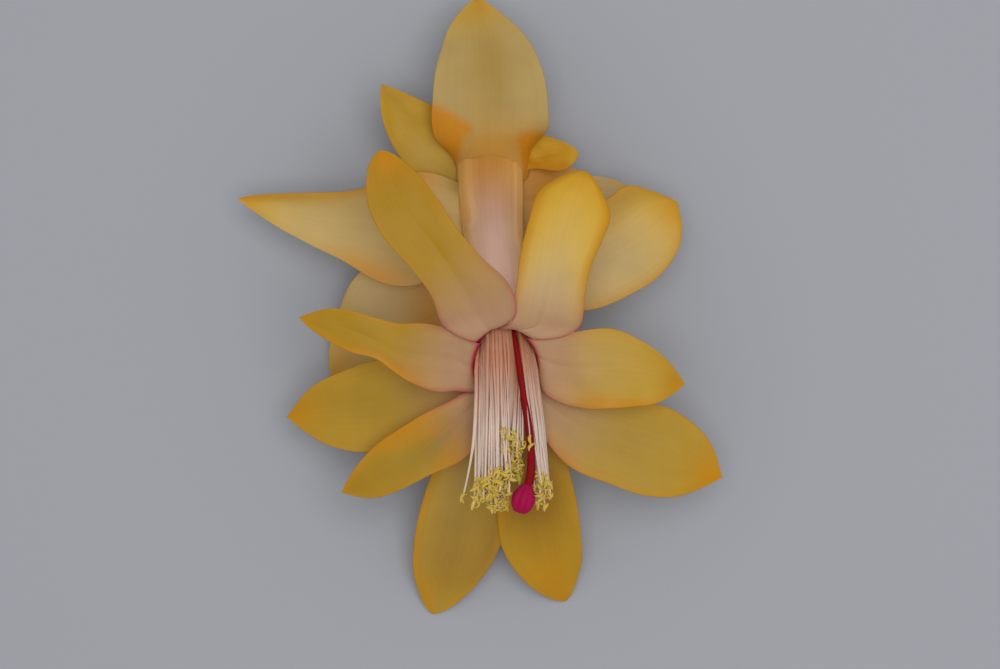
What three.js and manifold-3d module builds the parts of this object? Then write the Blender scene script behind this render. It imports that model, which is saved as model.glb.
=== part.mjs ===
// A picked Thanksgiving cactus flower, lying as it was laid down: its ovary and its lowest
// tepals touch the surface, its tube climbs away from them, and the mouth of the tube holds
// the style and the stamens clear of the surface.
//
// Millimetres. +Z is up, +Y runs from the mouth back to the ovary, and +X is to the right of
// someone who looks down on the flower with the ovary at the top. The plan origin of the
// tables below is a point beside the tube; the finished group is shifted so that its own
// origin is the centre of its footprint on the surface.
import * as THREE from "three";
import Module from "manifold-3d";

const wasm = await Module();
wasm.setup();

// Driving dimensions
const SEAT_GAP = 0.32; // what two neighbouring solids keep between them
const TEPAL_THICKNESS = 0.6;
const TEPAL_ROWS = 12; // cells from a tepal's root to its tip
const TEPAL_COLUMNS = 6; // cells across a tepal

const TUBE_SIDES = 18;
const TUBE_ROWS = 10; // cells along the tube
const TUBE_WALL = 0.65;
const TUBE_AXIS = [
  [-1.4, 24.0, 4.5],
  [-1.1, 16.6, 6.6],
  [-0.5, 9.2, 9.4],
  [0.2, 2.0, 13.2],
  [0.7, -3.3, 16.0],
];
const TUBE_RADII = [3.9, 4.1, 3.7, 3.5, 3.6, 4.0]; // outside, at equal steps to the mouth
const MOUTH_SLANT = 0.65; // how far the rim runs forward for each millimetre down

const OVARY_AXIS = [
  [-2.1, 31.6, 2.0],
  [-1.85, 29.2, 2.25],
  [-1.55, 26.8, 3.6],
  [-1.42, 24.42, 4.36],
];
const OVARY_RADII = [1.3, 2.6, 3.1, 3.3, 3.6]; // at equal steps to the tube
const OVARY_SIDES = 14;
const OVARY_ROWS = 7;

const STYLE_RADIUS = 0.5;
const STYLE_SIDES = 7;
const STYLE_ROWS = 28;
const STYLE_INSIDE = [
  [0.0, 0.0, 0.0],
  [0.13, 0.02, 0.05],
  [0.3, 0.12, 0.3],
  [0.55, 0.24, 0.56],
  [0.82, 0.38, 0.63],
  [1.0, 0.55, 0.57],
]; // share of the tube's length, then towards +X and up in shares of the hollow's radius
const STYLE_FREE = [
  [3.15, -7.7, 19.1],
  [3.65, -12.5, 19.6],
  [3.6, -16.0, 19.5],
  [3.42, -17.3, 19.4],
];
const STIGMA_AXIS = [
  [3.32, -17.8, 19.35],
  [2.75, -19.5, 19.25],
  [2.3, -21.0, 19.15],
];
const STIGMA_RADII = [0.6, 1.05, 1.34, 1.4, 1.28, 1.0];
const STIGMA_ROWS = 6;
const STIGMA_LOBES = 7;
const STIGMA_RIB = 0.07; // how far a lobe stands out, as a share of the radius
const STIGMA_NOTCH = 0.25; // how far a lobe's end runs on past the notch beside it

const FILAMENT_RADIUS = 0.24;
const FILAMENT_SPACING = 0.73;
const FILAMENT_REACH = 0.81; // the outermost filament, as a share of the hollow's radius
const STYLE_SLOT = 0.32; // kept free round the style, as a share of the hollow's radius
const FILAMENT_SIDES = 4;
const FILAMENT_ROWS = 9;
const FILAMENT_STATIONS = [0.09, 0.3, 0.5, 0.7, 0.88]; // shares of the tube's length
const MOUTH_CROWD = { across: 0.95, lift: 0.12, height: 0.82 }; // of a and b, at the mouth
const MOUTH_RUN = { middle: 1.2, slope: 1.4 }; // how far before the rim's plane, by height b
const FILAMENT_ARCH = 0.4; // how far a filament rises over a straight line outside the tube
const ANTHER_LENGTH = 1.3;
const ANTHER_RADIUS = 0.36;
const ANTHER_END_RADIUS = 0.12;
const ANTHER_TURN = 1.0; // the sharpest bend between a filament and its anther, in radians
const COLLAR_SPAN = [0.05, 0.13]; // of the tube's axis
const COLLAR_ROWS = 2;
const STAMEN_SEED = 7;
// Where the filaments end. a and b are a filament's place in the hollow, across and up: its
// tip is at x = middle + spread * a, z = height + rise * b and y = -shortest to -longest.
const FANS = {
  left: { middle: 0.8, spread: 6.0, height: 18.6, rise: 1.8, shortest: 16.6, longest: 19.9 },
  middle: { middle: 0.8, spread: 6.0, height: 18.6, rise: 1.8, shortest: 12.4, longest: 15.8 },
  right: { middle: 3.9, spread: 2.8, height: 18.2, rise: 1.8, shortest: 16.6, longest: 19.6 },
};
const MIDDLE_FAN_FROM = -0.08; // in a: right of this a filament would meet the stigma
const RIGHT_FAN_FROM = 0.42; // in a: right of this a filament passes right of the style

// Tepals, upper ones first, because each is cut back where it would come closer than the
// seat gap to one above it in this list. spine: the middle line from root to tip. left and
// right: how far the blade reaches to each side of it, seen from the root, at equal steps to
// the tip. roll: degrees by which the right edge is raised. cup: half of the arc across the
// blade in degrees; its edges rise where that is positive.
const TEPALS = [
  {
    name: "inner_tepal_upper_left",
    spine: [
      [-1.2, 0.3, 16.8],
      [-2.2, 1.6, 18.8],
      [-3.9, 4.9, 20.2],
      [-7.3, 9.9, 21.2],
      [-11.2, 15.2, 21.2],
      [-14.2, 21.7, 19.8],
    ],
    left: [1.8, 3.7, 3.4, 3.8, 4.2, 3.4, 0.8],
    right: [1.7, 4.2, 3.5, 3.4, 3.7, 2.8, 0.2],
    roll: [26, 10, 2, -3, -6],
    cup: [20, 16, 14, 14, 20],
  },
  {
    name: "inner_tepal_upper_right",
    spine: [
      [2.6, 0.3, 16.8],
      [4.2, 1.8, 18.8],
      [5.7, 4.6, 20.1],
      [6.8, 9.6, 21.2],
      [8.2, 14.7, 21.0],
      [10.1, 19.3, 19.4],
    ],
    left: [1.7, 3.6, 3.9, 4.3, 4.1, 3.3, 0.4],
    right: [1.8, 4.4, 4.1, 4.3, 4.8, 4.5, 0.4],
    roll: [-26, -10, -2, 3, 6],
    cup: [20, 4, -10, -16, -20],
  },
  {
    name: "inner_tepal_left",
    spine: [
      [-2.8, -3.0, 16.0],
      [-7.0, -2.8, 16.9],
      [-11.9, -1.9, 17.6],
      [-17.8, 0.6, 17.4],
      [-24.0, 2.0, 16.0],
    ],
    left: [1.9, 4.0, 3.2, 1.9, 2.3, 1.8, 0.2],
    right: [1.9, 3.3, 3.9, 2.9, 2.3, 1.9, 0.2],
    roll: [16, 8, 2, 6, 14],
    cup: [16, 12, 12, 12, 16],
  },
  {
    name: "inner_tepal_right",
    spine: [
      [4.2, -3.0, 16.0],
      [8.3, -3.9, 16.8],
      [13.1, -4.1, 17.3],
      [17.9, -4.7, 16.6],
      [22.1, -5.9, 15.2],
    ],
    left: [1.9, 4.0, 4.6, 4.8, 3.6, 1.9, 0.2],
    right: [1.9, 3.7, 4.8, 4.7, 4.2, 3.3, 0.4],
    roll: [-16, -6, 0, 0, 0],
    cup: [16, 10, 10, 14, 20],
  },
  {
    name: "inner_tepal_lower_left",
    spine: [
      [-1.4, -6.6, 14.7],
      [-6.0, -11.0, 14.8],
      [-11.2, -14.8, 13.9],
      [-15.4, -17.4, 12.6],
      [-19.2, -19.1, 11.2],
    ],
    left: [1.6, 3.4, 4.1, 3.4, 2.9, 2.2, 0.2],
    right: [1.4, 2.2, 3.1, 3.4, 3.4, 2.4, 0.2],
    roll: [10, 2, 0, 0, 0],
    cup: [16, 14, 18, 18, 18],
  },
  {
    name: "inner_tepal_lower_right",
    spine: [
      [2.9, -6.2, 14.9],
      [9.4, -10.8, 14.0],
      [16.3, -13.7, 12.4],
      [22.4, -15.6, 10.8],
      [27.1, -17.4, 8.8],
    ],
    left: [1.7, 3.4, 4.6, 5.5, 5.9, 4.2, 0.3],
    right: [1.7, 3.2, 5.0, 5.1, 5.1, 3.9, 0.3],
    roll: [-10, -2, 0, 0, 0],
    cup: [16, 8, 10, 14, 18],
  },
  {
    name: "middle_tepal_left",
    spine: [
      [-2.2, -5.2, 13.2],
      [-8.4, -8.0, 12.2],
      [-15.0, -9.0, 10.4],
      [-21.4, -9.6, 8.2],
      [-26.2, -10.1, 6.4],
    ],
    left: [1.7, 3.2, 4.6, 5.3, 4.9, 3.4, 0.2],
    right: [1.7, 3.8, 5.4, 5.9, 5.1, 3.5, 0.2],
    roll: [8, 0, 0, 0, 0],
    cup: [16, 8, 10, 12, 16],
  },
  {
    name: "middle_tepal_bottom_right",
    spine: [
      [1.7, -6.2, 13.2],
      [3.7, -13.6, 12.2],
      [4.9, -20.6, 9.2],
      [6.2, -27.0, 5.0],
      [8.2, -33.3, 0.2],
    ],
    left: [1.6, 3.2, 4.0, 4.4, 4.2, 3.3, 0.2],
    right: [1.6, 3.6, 4.7, 5.4, 5.6, 3.9, 0.4],
    roll: [0, 0, 0, 0, 0],
    cup: [16, 8, 8, 10, 8],
  },
  {
    name: "middle_tepal_bottom_left",
    spine: [
      [-0.4, -6.2, 12.5],
      [-2.8, -13.8, 11.0],
      [-5.0, -21.0, 8.0],
      [-6.7, -27.9, 4.2],
      [-8.4, -34.9, 0.2],
    ],
    left: [1.6, 3.7, 5.4, 6.1, 5.9, 4.2, 0.2],
    right: [1.6, 2.9, 4.1, 4.5, 4.4, 3.5, 0.2],
    roll: [0, 0, 0, 0, 0],
    cup: [16, 8, 8, 10, 8],
  },
  {
    name: "tube_tepal_right",
    spine: [
      [2.5, 7.2, 9.9],
      [7.9, 8.0, 10.2],
      [13.4, 10.3, 9.8],
      [18.3, 13.3, 8.8],
      [21.7, 16.2, 7.4],
    ],
    left: [2.6, 4.7, 5.6, 5.8, 5.6, 5.3, 0.8],
    right: [2.8, 4.8, 5.9, 6.0, 5.8, 4.3, 0.5],
    roll: [-10, 0, 0, 0, 0],
    cup: [10, 8, 12, 14, 16],
  },
  {
    name: "tube_tepal_left",
    spine: [
      [-4.0, 14.0, 7.4],
      [-9.8, 13.8, 8.2],
      [-16.5, 13.6, 8.2],
      [-24.5, 14.8, 7.4],
      [-32.2, 16.7, 6.2],
    ],
    left: [3.4, 7.2, 7.7, 5.0, 3.4, 1.9, 0.2],
    right: [4.2, 6.0, 5.4, 3.9, 2.9, 1.8, 0.2],
    roll: [0, 0, 0, 0, 0],
    cup: [10, 10, 12, 14, 16],
  },
  {
    name: "tube_tepal_low_left",
    spine: [
      [-2.7, 6.2, 8.9],
      [-8.6, 4.6, 7.0],
      [-13.8, 1.6, 4.6],
      [-18.0, -2.4, 2.2],
      [-20.6, -7.6, 0.2],
    ],
    left: [2.8, 4.5, 5.6, 5.7, 5.1, 3.7, 0.3],
    right: [2.8, 5.0, 6.8, 6.8, 4.8, 2.6, 0.2],
    roll: [0, 0, 0, 0, 0],
    cup: [10, 8, 10, 12, 8],
  },
  {
    name: "outer_tepal_top",
    spine: [
      [-1.2, 20.8, 8.8],
      [-1.2, 24.8, 10.4],
      [-1.1, 30.0, 10.8],
      [-1.5, 35.6, 9.4],
      [-2.8, 41.4, 6.8],
    ],
    left: [4.4, 6.4, 7.0, 6.8, 5.9, 4.3, 0.5],
    right: [4.6, 7.0, 7.0, 6.4, 5.0, 2.6, 0.3],
    roll: [0, 0, 0, 0, 0],
    cup: [-30, 8, 12, 16, 20],
  },
  {
    name: "outer_tepal_left",
    spine: [
      [-4.0, 19.6, 5.9],
      [-7.3, 22.6, 7.0],
      [-10.9, 26.2, 8.2],
      [-14.4, 30.4, 9.4],
    ],
    left: [2.2, 3.6, 4.4, 4.1, 3.4, 2.2, 0.3],
    right: [2.2, 4.2, 4.4, 3.8, 2.8, 1.6, 0.2],
    roll: [0, 0, 0, 0],
    cup: [16, 12, 14, 18],
  },
  {
    name: "outer_tepal_right",
    spine: [
      [1.9, 20.6, 5.8],
      [4.6, 21.6, 7.0],
      [7.4, 22.1, 7.8],
      [9.6, 22.2, 8.2],
    ],
    left: [2.0, 3.0, 3.2, 2.7, 2.0, 1.2, 0.2],
    right: [2.0, 2.8, 3.0, 2.9, 2.7, 2.2, 0.8],
    roll: [10, 12, 12, 10],
    cup: [16, 12, 14, 18],
  },
  {
    name: "tube_tepal_low_right",
    spine: [
      [2.3, 16.4, 5.6],
      [7.4, 16.4, 4.8],
      [12.4, 16.2, 2.8],
      [17.2, 17.2, 0.2],
    ],
    left: [2.6, 4.6, 4.2, 3.7, 3.4, 2.6, 0.3],
    right: [2.6, 4.8, 5.4, 5.2, 3.9, 2.3, 0.2],
    roll: [0, 0, 0, 0],
    cup: [10, 10, 12, 8],
  },
];

const UP = new THREE.Vector3(0, 0, 1);
const vector = (point) => new THREE.Vector3(...point);

function curve(points) {
  return new THREE.CatmullRomCurve3(points.map(vector), false, "catmullrom", 0.5);
}

// A value between the entries of a list that stand at equal steps of t from 0 to 1.
function along(values, t) {
  const place = Math.min(Math.max(t, 0), 1) * (values.length - 1);
  const i = Math.min(Math.floor(place), values.length - 2);
  const share = place - i;
  const [b, c] = [values[i], values[i + 1]];
  const a = i > 0 ? values[i - 1] : 2 * b - c;
  const d = i + 2 < values.length ? values[i + 2] : 2 * c - b;
  const tangentB = (c - a) / 2;
  const tangentC = (d - b) / 2;
  const cubic = 2 * (b - c) + tangentB + tangentC;
  const square = 3 * (c - b) - 2 * tangentB - tangentC;
  return ((cubic * share + square) * share + tangentB) * share + b;
}

// Position along a curve with the directions to its right and up, at right angles to it.
function frameAt(path, t, rollDegrees = 0) {
  const centre = path.getPointAt(t);
  const forward = path.getTangentAt(t);
  const right = new THREE.Vector3().crossVectors(forward, UP).normalize();
  right.applyAxisAngle(forward, -THREE.MathUtils.degToRad(rollDegrees));
  const up = new THREE.Vector3().crossVectors(right, forward);
  return { centre, forward, right, up };
}

function solidOf(points, triangles) {
  const vertProperties = new Float32Array(points.flatMap((p) => [p.x, p.y, p.z]));
  const triVerts = new Uint32Array(triangles);
  return new wasm.Manifold(new wasm.Mesh({ numProp: 3, vertProperties, triVerts }));
}

function largest(solid) {
  return solid.decompose().sort((a, b) => b.volume() - a.volume())[0];
}

function geometryOf(solid) {
  const { vertProperties, triVerts } = solid.getMesh();
  const geometry = new THREE.BufferGeometry();
  geometry.setAttribute("position", new THREE.BufferAttribute(vertProperties, 3));
  geometry.setIndex([...triVerts]);
  return geometry;
}

// Rings of equally many points become one closed solid. An open run of rings is closed by a
// cap at each end; a round run, whose last ring meets its first, needs none.
function loft(rings, round = false) {
  const sides = rings[0].length;
  const points = rings.flat();
  const triangles = [];
  const steps = round ? rings.length : rings.length - 1;
  for (let i = 0; i < steps; i++) {
    const here = i * sides;
    const next = ((i + 1) % rings.length) * sides;
    for (let j = 0; j < sides; j++) {
      const k = (j + 1) % sides;
      triangles.push(here + j, next + j, here + k, here + k, next + j, next + k);
    }
  }
  if (!round) {
    const last = (rings.length - 1) * sides;
    for (let j = 1; j < sides - 1; j++) {
      triangles.push(0, j, j + 1, last, last + j + 1, last + j);
    }
  }
  return solidOf(points, triangles);
}

// A ring of points round a curve's frame. reach(angle) is the radius, lean(angle) moves a
// point along the curve, and angle 0 is to the right and a quarter turn is up.
function ring({ centre, forward, right, up }, sides, reach, lean = () => 0) {
  return Array.from({ length: sides }, (_, j) => {
    const angle = (2 * Math.PI * j) / sides;
    return centre
      .clone()
      .addScaledVector(right, reach(angle) * Math.cos(angle))
      .addScaledVector(up, reach(angle) * Math.sin(angle))
      .addScaledVector(forward, lean(angle));
  });
}

// A round solid along a curve. grow moves its sides outward, and its ends apart by as much.
function rod(points, radii, sides, rows, grow = 0) {
  const path = curve(points);
  const rings = [];
  for (let i = 0; i <= rows; i++) {
    const t = i / rows;
    const reach = () => along(radii, t) + grow;
    rings.push(ring(frameAt(path, t), sides, reach, () => grow * (2 * t - 1)));
  }
  return loft(rings);
}

// The floral tube

const tubePath = curve(TUBE_AXIS);

// The rim is slanted: its lower side runs on forward, and its upper side stops short. grow
// moves the rings outward, and the ends apart by as much.
function tubeRings(grow) {
  return Array.from({ length: TUBE_ROWS + 1 }, (_, i) => {
    const t = i / TUBE_ROWS;
    const radius = along(TUBE_RADII, t) + grow;
    const slant = MOUTH_SLANT * t ** 4;
    const end = Math.max(grow, 0) * Math.hypot(1, slant) * (2 * t - 1);
    const lean = (angle) => end - slant * radius * Math.sin(angle);
    return ring(frameAt(tubePath, t), TUBE_SIDES, () => radius, lean);
  });
}

function floralTube() {
  return loft([...tubeRings(0), ...tubeRings(-TUBE_WALL).reverse()], true);
}

// The tube with no hollow and a gap's width larger, to cut the tepals' roots back by
function tubeSeat() {
  return loft(tubeRings(SEAT_GAP));
}

// A place inside the tube: a towards +X and b up, as shares of the hollow's radius
function insideTube(t, a, b) {
  const { centre, right, up } = frameAt(tubePath, t);
  const radius = along(TUBE_RADII, t) - TUBE_WALL;
  return centre.clone().addScaledVector(right, -a * radius).addScaledVector(up, b * radius);
}

// Tepals

// The middle of a tepal's blade at t from its root to its tip and u from its left edge, -1,
// to its right edge, 1. grow moves all its edges outward.
function tepalSurface({ spine, left, right, roll, cup }) {
  const path = curve(spine);
  return (t, u, grow = 0) => {
    const frame = frameAt(path, t, along(roll, t));
    const half = along(u < 0 ? left : right, t) + grow;
    const arc = THREE.MathUtils.degToRad(along(cup, t));
    const flat = Math.abs(arc) < 1e-3;
    const across = flat ? u : Math.sin(arc * u) / arc;
    const rise = flat ? 0 : (1 - Math.cos(arc * u)) / arc;
    return frame.centre
      .addScaledVector(frame.right, half * across)
      .addScaledVector(frame.up, half * rise)
      .addScaledVector(frame.forward, grow * (2 * t - 1));
  };
}

// A blade of even thickness on a surface. Both faces are split along the same diagonals.
function blade(surface, thickness, grow = 0) {
  const step = 1e-3;
  const faces = [1, -1].map((sign) => {
    const points = [];
    for (let i = 0; i <= TEPAL_ROWS; i++) {
      const t = i / TEPAL_ROWS;
      const [t0, t1] = [Math.max(t - step, 0), Math.min(t + step, 1)];
      for (let j = 0; j <= TEPAL_COLUMNS; j++) {
        const u = (2 * j) / TEPAL_COLUMNS - 1;
        const across = surface(t, u + step, grow).sub(surface(t, u - step, grow));
        const forward = surface(t1, u, grow).sub(surface(t0, u, grow));
        const normal = across.cross(forward).normalize();
        points.push(surface(t, u, grow).addScaledVector(normal, (sign * thickness) / 2));
      }
    }
    return points;
  });
  const columns = TEPAL_COLUMNS + 1;
  const under = faces[0].length;
  const triangles = [];
  for (let i = 0; i < TEPAL_ROWS; i++) {
    for (let j = 0; j < TEPAL_COLUMNS; j++) {
      const a = i * columns + j;
      const [b, c, d] = [a + 1, a + columns, a + columns + 1];
      triangles.push(a, b, c, b, d, c);
      triangles.push(under + a, under + c, under + b, under + b, under + c, under + d);
    }
  }
  const rim = [];
  for (let j = 0; j < TEPAL_COLUMNS; j++) rim.push(j);
  for (let i = 0; i < TEPAL_ROWS; i++) rim.push(i * columns + TEPAL_COLUMNS);
  for (let j = TEPAL_COLUMNS; j > 0; j--) rim.push(TEPAL_ROWS * columns + j);
  for (let i = TEPAL_ROWS; i > 0; i--) rim.push(i * columns);
  rim.forEach((a, k) => {
    const b = rim[(k + 1) % rim.length];
    triangles.push(a, under + a, b, b, under + a, under + b);
  });
  return solidOf(faces.flat(), triangles);
}

// Each tepal, cut back from the tube, from the ovary and from the tepals above it, and
// flattened where it lies on the surface
function tepals(seats) {
  const above = [];
  const made = [];
  for (const spec of TEPALS) {
    const surface = tepalSurface(spec);
    let solid = blade(surface, TEPAL_THICKNESS);
    for (const seat of [...seats, ...above]) solid = solid.subtract(seat);
    solid = largest(solid.trimByPlane([0, 0, 1], 0));
    above.push(blade(surface, TEPAL_THICKNESS + 2 * SEAT_GAP, SEAT_GAP));
    made.push([spec.name, solid]);
  }
  return made;
}

// Ovary, style and stigma

function ovary(grow = 0) {
  const whole = rod(OVARY_AXIS, OVARY_RADII, OVARY_SIDES, OVARY_ROWS, grow);
  return whole.trimByPlane([0, 0, 1], 0);
}

function style() {
  const inside = STYLE_INSIDE.map(([t, a, b]) => insideTube(t, a, b).toArray());
  const radii = [STYLE_RADIUS, STYLE_RADIUS];
  return rod([...inside, ...STYLE_FREE], radii, STYLE_SIDES, STYLE_ROWS);
}

// The stigma's lobes stand together as one ribbed club with a notched end.
function stigma() {
  const path = curve(STIGMA_AXIS);
  const rings = [];
  for (let i = 0; i <= STIGMA_ROWS; i++) {
    const t = i / STIGMA_ROWS;
    const radius = along(STIGMA_RADII, t);
    const rib = (angle) => Math.cos(STIGMA_LOBES * angle);
    const reach = (angle) => radius * (1 + STIGMA_RIB * t * rib(angle));
    const lean = (angle) => STIGMA_NOTCH * t ** 4 * rib(angle);
    rings.push(ring(frameAt(path, t), 3 * STIGMA_LOBES, reach, lean));
  }
  return loft(rings);
}

// Stamens

function seeded(seed) {
  let state = seed;
  return () => {
    state = (state * 1664525 + 1013904223) % 4294967296;
    return state / 4294967296;
  };
}

// Places across the hollow in a triangular grid, with a slot left free for the style
function filamentPlaces() {
  const step = FILAMENT_SPACING / (TUBE_RADII.at(-1) - TUBE_WALL);
  const route = curve(STYLE_INSIDE.map(([, a, b]) => [a, b, 0])).getPoints(20);
  const places = [];
  for (let row = -5; row <= 5; row++) {
    for (let column = -5; column <= 5; column++) {
      const a = (column + (row % 2 ? 0.5 : 0)) * step;
      const b = row * step * Math.sqrt(0.75);
      const inSlot = route.some((p) => Math.hypot(p.x - a, p.y - b) < STYLE_SLOT);
      if (Math.hypot(a, b) < FILAMENT_REACH && !inSlot) places.push([a, b]);
    }
  }
  return places;
}

// Outside the tube the filaments part round the style: most go to its left, the few from
// the right of the hollow to its right, and those that would meet the stigma end before it.
function filamentPoints([a, b], random) {
  const points = FILAMENT_STATIONS.map((t) => insideTube(t, a, b));
  const mouth = insideTube(1, MOUTH_CROWD.across * a, MOUTH_CROWD.lift + MOUTH_CROWD.height * b);
  mouth.addScaledVector(tubePath.getTangentAt(1), MOUTH_RUN.middle - MOUTH_RUN.slope * b);
  const side = a > RIGHT_FAN_FROM ? "right" : a > MIDDLE_FAN_FROM ? "middle" : "left";
  const fan = FANS[side];
  const reach = THREE.MathUtils.lerp(fan.shortest, fan.longest, random());
  const x = fan.middle + fan.spread * a;
  const tip = new THREE.Vector3(x, -reach, fan.height + fan.rise * b);
  const middle = mouth.clone().lerp(tip, 0.5);
  middle.z += FILAMENT_ARCH;
  return [...points, mouth, middle, tip];
}

// One skin for a filament and its anther, which is bent away from it by a random turn
function filament(points, random) {
  const turn = ANTHER_TURN * (2 * random() - 1);
  const bend = new THREE.Vector3(Math.sin(turn), -Math.cos(turn), random() - 0.5);
  const end = points.at(-1).clone().addScaledVector(bend.normalize(), ANTHER_LENGTH);
  const path = curve([...points, end].map((p) => p.toArray()));
  const neck = 1 - ANTHER_LENGTH / path.getLength();
  const stations = Array.from({ length: FILAMENT_ROWS + 1 }, (_, i) => {
    return [(neck * i) / FILAMENT_ROWS, FILAMENT_RADIUS];
  });
  stations.push([THREE.MathUtils.lerp(neck, 1, 0.25), ANTHER_RADIUS]);
  stations.push([THREE.MathUtils.lerp(neck, 1, 0.75), ANTHER_RADIUS]);
  stations.push([1, ANTHER_END_RADIUS]);
  return loft(stations.map(([t, radius]) => ring(frameAt(path, t), FILAMENT_SIDES, () => radius)));
}

// The ring at the foot of the tube on which all the filaments stand
function collar() {
  const rings = (radius) =>
    Array.from({ length: COLLAR_ROWS + 1 }, (_, i) => {
      const t = THREE.MathUtils.lerp(...COLLAR_SPAN, i / COLLAR_ROWS);
      return ring(frameAt(tubePath, t), TUBE_SIDES, () => radius(t));
    });
  const outside = rings((t) => along(TUBE_RADII, t) - TUBE_WALL - SEAT_GAP);
  const inside = rings(() => STYLE_RADIUS + 1.5 * SEAT_GAP).reverse();
  return loft([...outside, ...inside], true);
}

function stamens() {
  const random = seeded(STAMEN_SEED);
  const pieces = [collar()];
  for (const place of filamentPlaces()) {
    pieces.push(filament(filamentPoints(place, random), random));
  }
  return largest(wasm.Manifold.union(pieces));
}

// Assembly

const TEPAL_COLOURS = { inner: "#dca62e", middle: "#d6a035", tube: "#d9b465", outer: "#d8b25c" };

function material(colour, roughness) {
  return new THREE.MeshStandardMaterial({ color: colour, roughness, metalness: 0 });
}

function flower() {
  const group = new THREE.Group();
  const add = (name, solid, colour, roughness) => {
    const mesh = new THREE.Mesh(geometryOf(solid), material(colour, roughness));
    mesh.name = name;
    group.add(mesh);
  };
  add("ovary", ovary(), "#8a9a4c", 0.5);
  add("floral_tube", floralTube(), "#e6c1a6", 0.5);
  add("style", style(), "#a3122f", 0.4);
  add("stigma", stigma(), "#a8005c", 0.6);
  add("stamens", stamens(), "#ecd79a", 0.6);
  for (const [name, solid] of tepals([tubeSeat(), ovary(SEAT_GAP)])) {
    add(name, solid, TEPAL_COLOURS[name.split("_")[0]], 0.5);
  }
  const box = new THREE.Box3().setFromObject(group);
  const middle = box.getCenter(new THREE.Vector3());
  group.position.set(-middle.x, -middle.y, -box.min.z);
  return group;
}

export default flower();
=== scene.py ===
"""A picked Thanksgiving cactus flower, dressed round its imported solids.

The tables give millimetres on the plan that the flower was drawn on: +Z up from the surface
it lies on, +Y from the mouth of its tube back to its ovary. PLAN_ORIGIN is where that plan's
origin stands in the row frame. A share runs from 0 at the start of a curve to 1 at its end.
"""
import math
import random
from collections import namedtuple

import bpy
from bpy.props import FloatProperty, FloatVectorProperty, IntProperty, PointerProperty
from bpy.types import Operator, Panel, PropertyGroup
from mathutils import Matrix, Vector, noise
from mathutils.bvhtree import BVHTree
from mathutils.geometry import interpolate_bezier


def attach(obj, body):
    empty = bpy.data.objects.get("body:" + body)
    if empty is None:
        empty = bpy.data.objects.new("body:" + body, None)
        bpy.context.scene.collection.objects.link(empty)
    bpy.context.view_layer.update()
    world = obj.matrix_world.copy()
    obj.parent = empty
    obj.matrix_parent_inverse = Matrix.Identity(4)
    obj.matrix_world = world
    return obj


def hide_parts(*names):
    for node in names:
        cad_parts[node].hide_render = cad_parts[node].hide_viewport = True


bl_info = {
    "name": "Picked cactus flower",
    "version": (1, 0, 0),
    "blender": (4, 5, 0),
    "location": "View3D > Sidebar > Flower",
    "description": "Models and lights one picked Thanksgiving cactus flower",
    "category": "Add Mesh",
}

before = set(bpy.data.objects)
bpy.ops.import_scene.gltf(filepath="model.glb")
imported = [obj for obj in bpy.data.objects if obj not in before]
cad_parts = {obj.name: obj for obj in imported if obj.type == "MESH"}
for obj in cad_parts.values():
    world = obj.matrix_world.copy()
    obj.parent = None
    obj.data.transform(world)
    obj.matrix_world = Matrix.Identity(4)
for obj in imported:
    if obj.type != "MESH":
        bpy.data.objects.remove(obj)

MM = 0.001
UP = Vector((0, 0, 1))
PLAN_ORIGIN = Vector((2.5, -3.24, 0))
WELD = 0.01  # places closer together than this count as one

# The tube: its middle line, its outer radii at equal steps to the mouth, and its slanted rim
TUBE_AXIS = [(-1.4, 24, 4.5), (-1.1, 16.6, 6.6), (-0.5, 9.2, 9.4), (0.2, 2, 13.2), (0.7, -3.3, 16)]
TUBE_RADII = [3.9, 4.1, 3.7, 3.5, 3.6, 4.0]
MOUTH_SLANT = 0.65
TUBE_COLUMNS = 112
TUBE_ROWS = 90
TUBE_END = 0.985  # the share at which the skin stops, so that the tepals' lips cover its rim
TUBE_INSET = 0.02  # how far the skin stays within the radii
TUBE_RIBS = {"count": 9, "twist": 4, "height": 0.05}
# Between which shares of its length the tube's tones change, and how strong they are
# The pale band is painted light: the skin turns paler towards the mouth, where the tepals over it
# shade the tube
TUBE_BANDS = {"foot": (0.12, 0.48), "pale": (0.35, 0.8), "flank_orange_and_light": (0.5, 1.0), "rim": (0.955, 0.98)}
# The flanks' tone is partly the tube's orange sides and partly painted light, lighter where the
# sides get less light
FLANK_TONE = 0.85
FLANK_EDGE = 2.5  # how much the flanks' tone keeps to the sides

# Margins of the outer tepals that run down the tube: the angle round it, 0 to the left and
# 90 up, half of the width in degrees, the share of the tube's length where it ends, and height
TUBE_MARGINS = [
    {"angle": 36, "half": 24, "end": 0.42, "height": 0.2},
    {"angle": 150, "half": 16, "end": 0.52, "height": 0.18},
]
MARGIN_TIP = 0.05  # the share of the tube over which a margin narrows to its end
MARGIN_TONE = 0.8
MARGIN_EDGE = {"tone": 0.7, "height": 0.5}  # the share of its width over which it sets in

# The ovary: its middle line from the scar to just inside the tube's foot, and its radii
OVARY_AXIS = [(-2.1, 31.6, 2), (-1.85, 29.2, 2.25), (-1.55, 26.8, 3.6), (-1.38, 23.5, 4.65)]
OVARY_RADII = [1.15, 2.45, 3.0, 3.35, 3.84]
OVARY_COLUMNS = 56
OVARY_ROWS = 48
OVARY_RIBS = {"count": 5, "height": 0.05}
OVARY_START = 0.02  # the share of the middle line that is left out before the scar
OVARY_DOME = 0.1  # the share over which its end is rounded
OVARY_BANDS = {"scar": (0.05, 0.13), "foot": (0.55, 1.0)}

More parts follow.
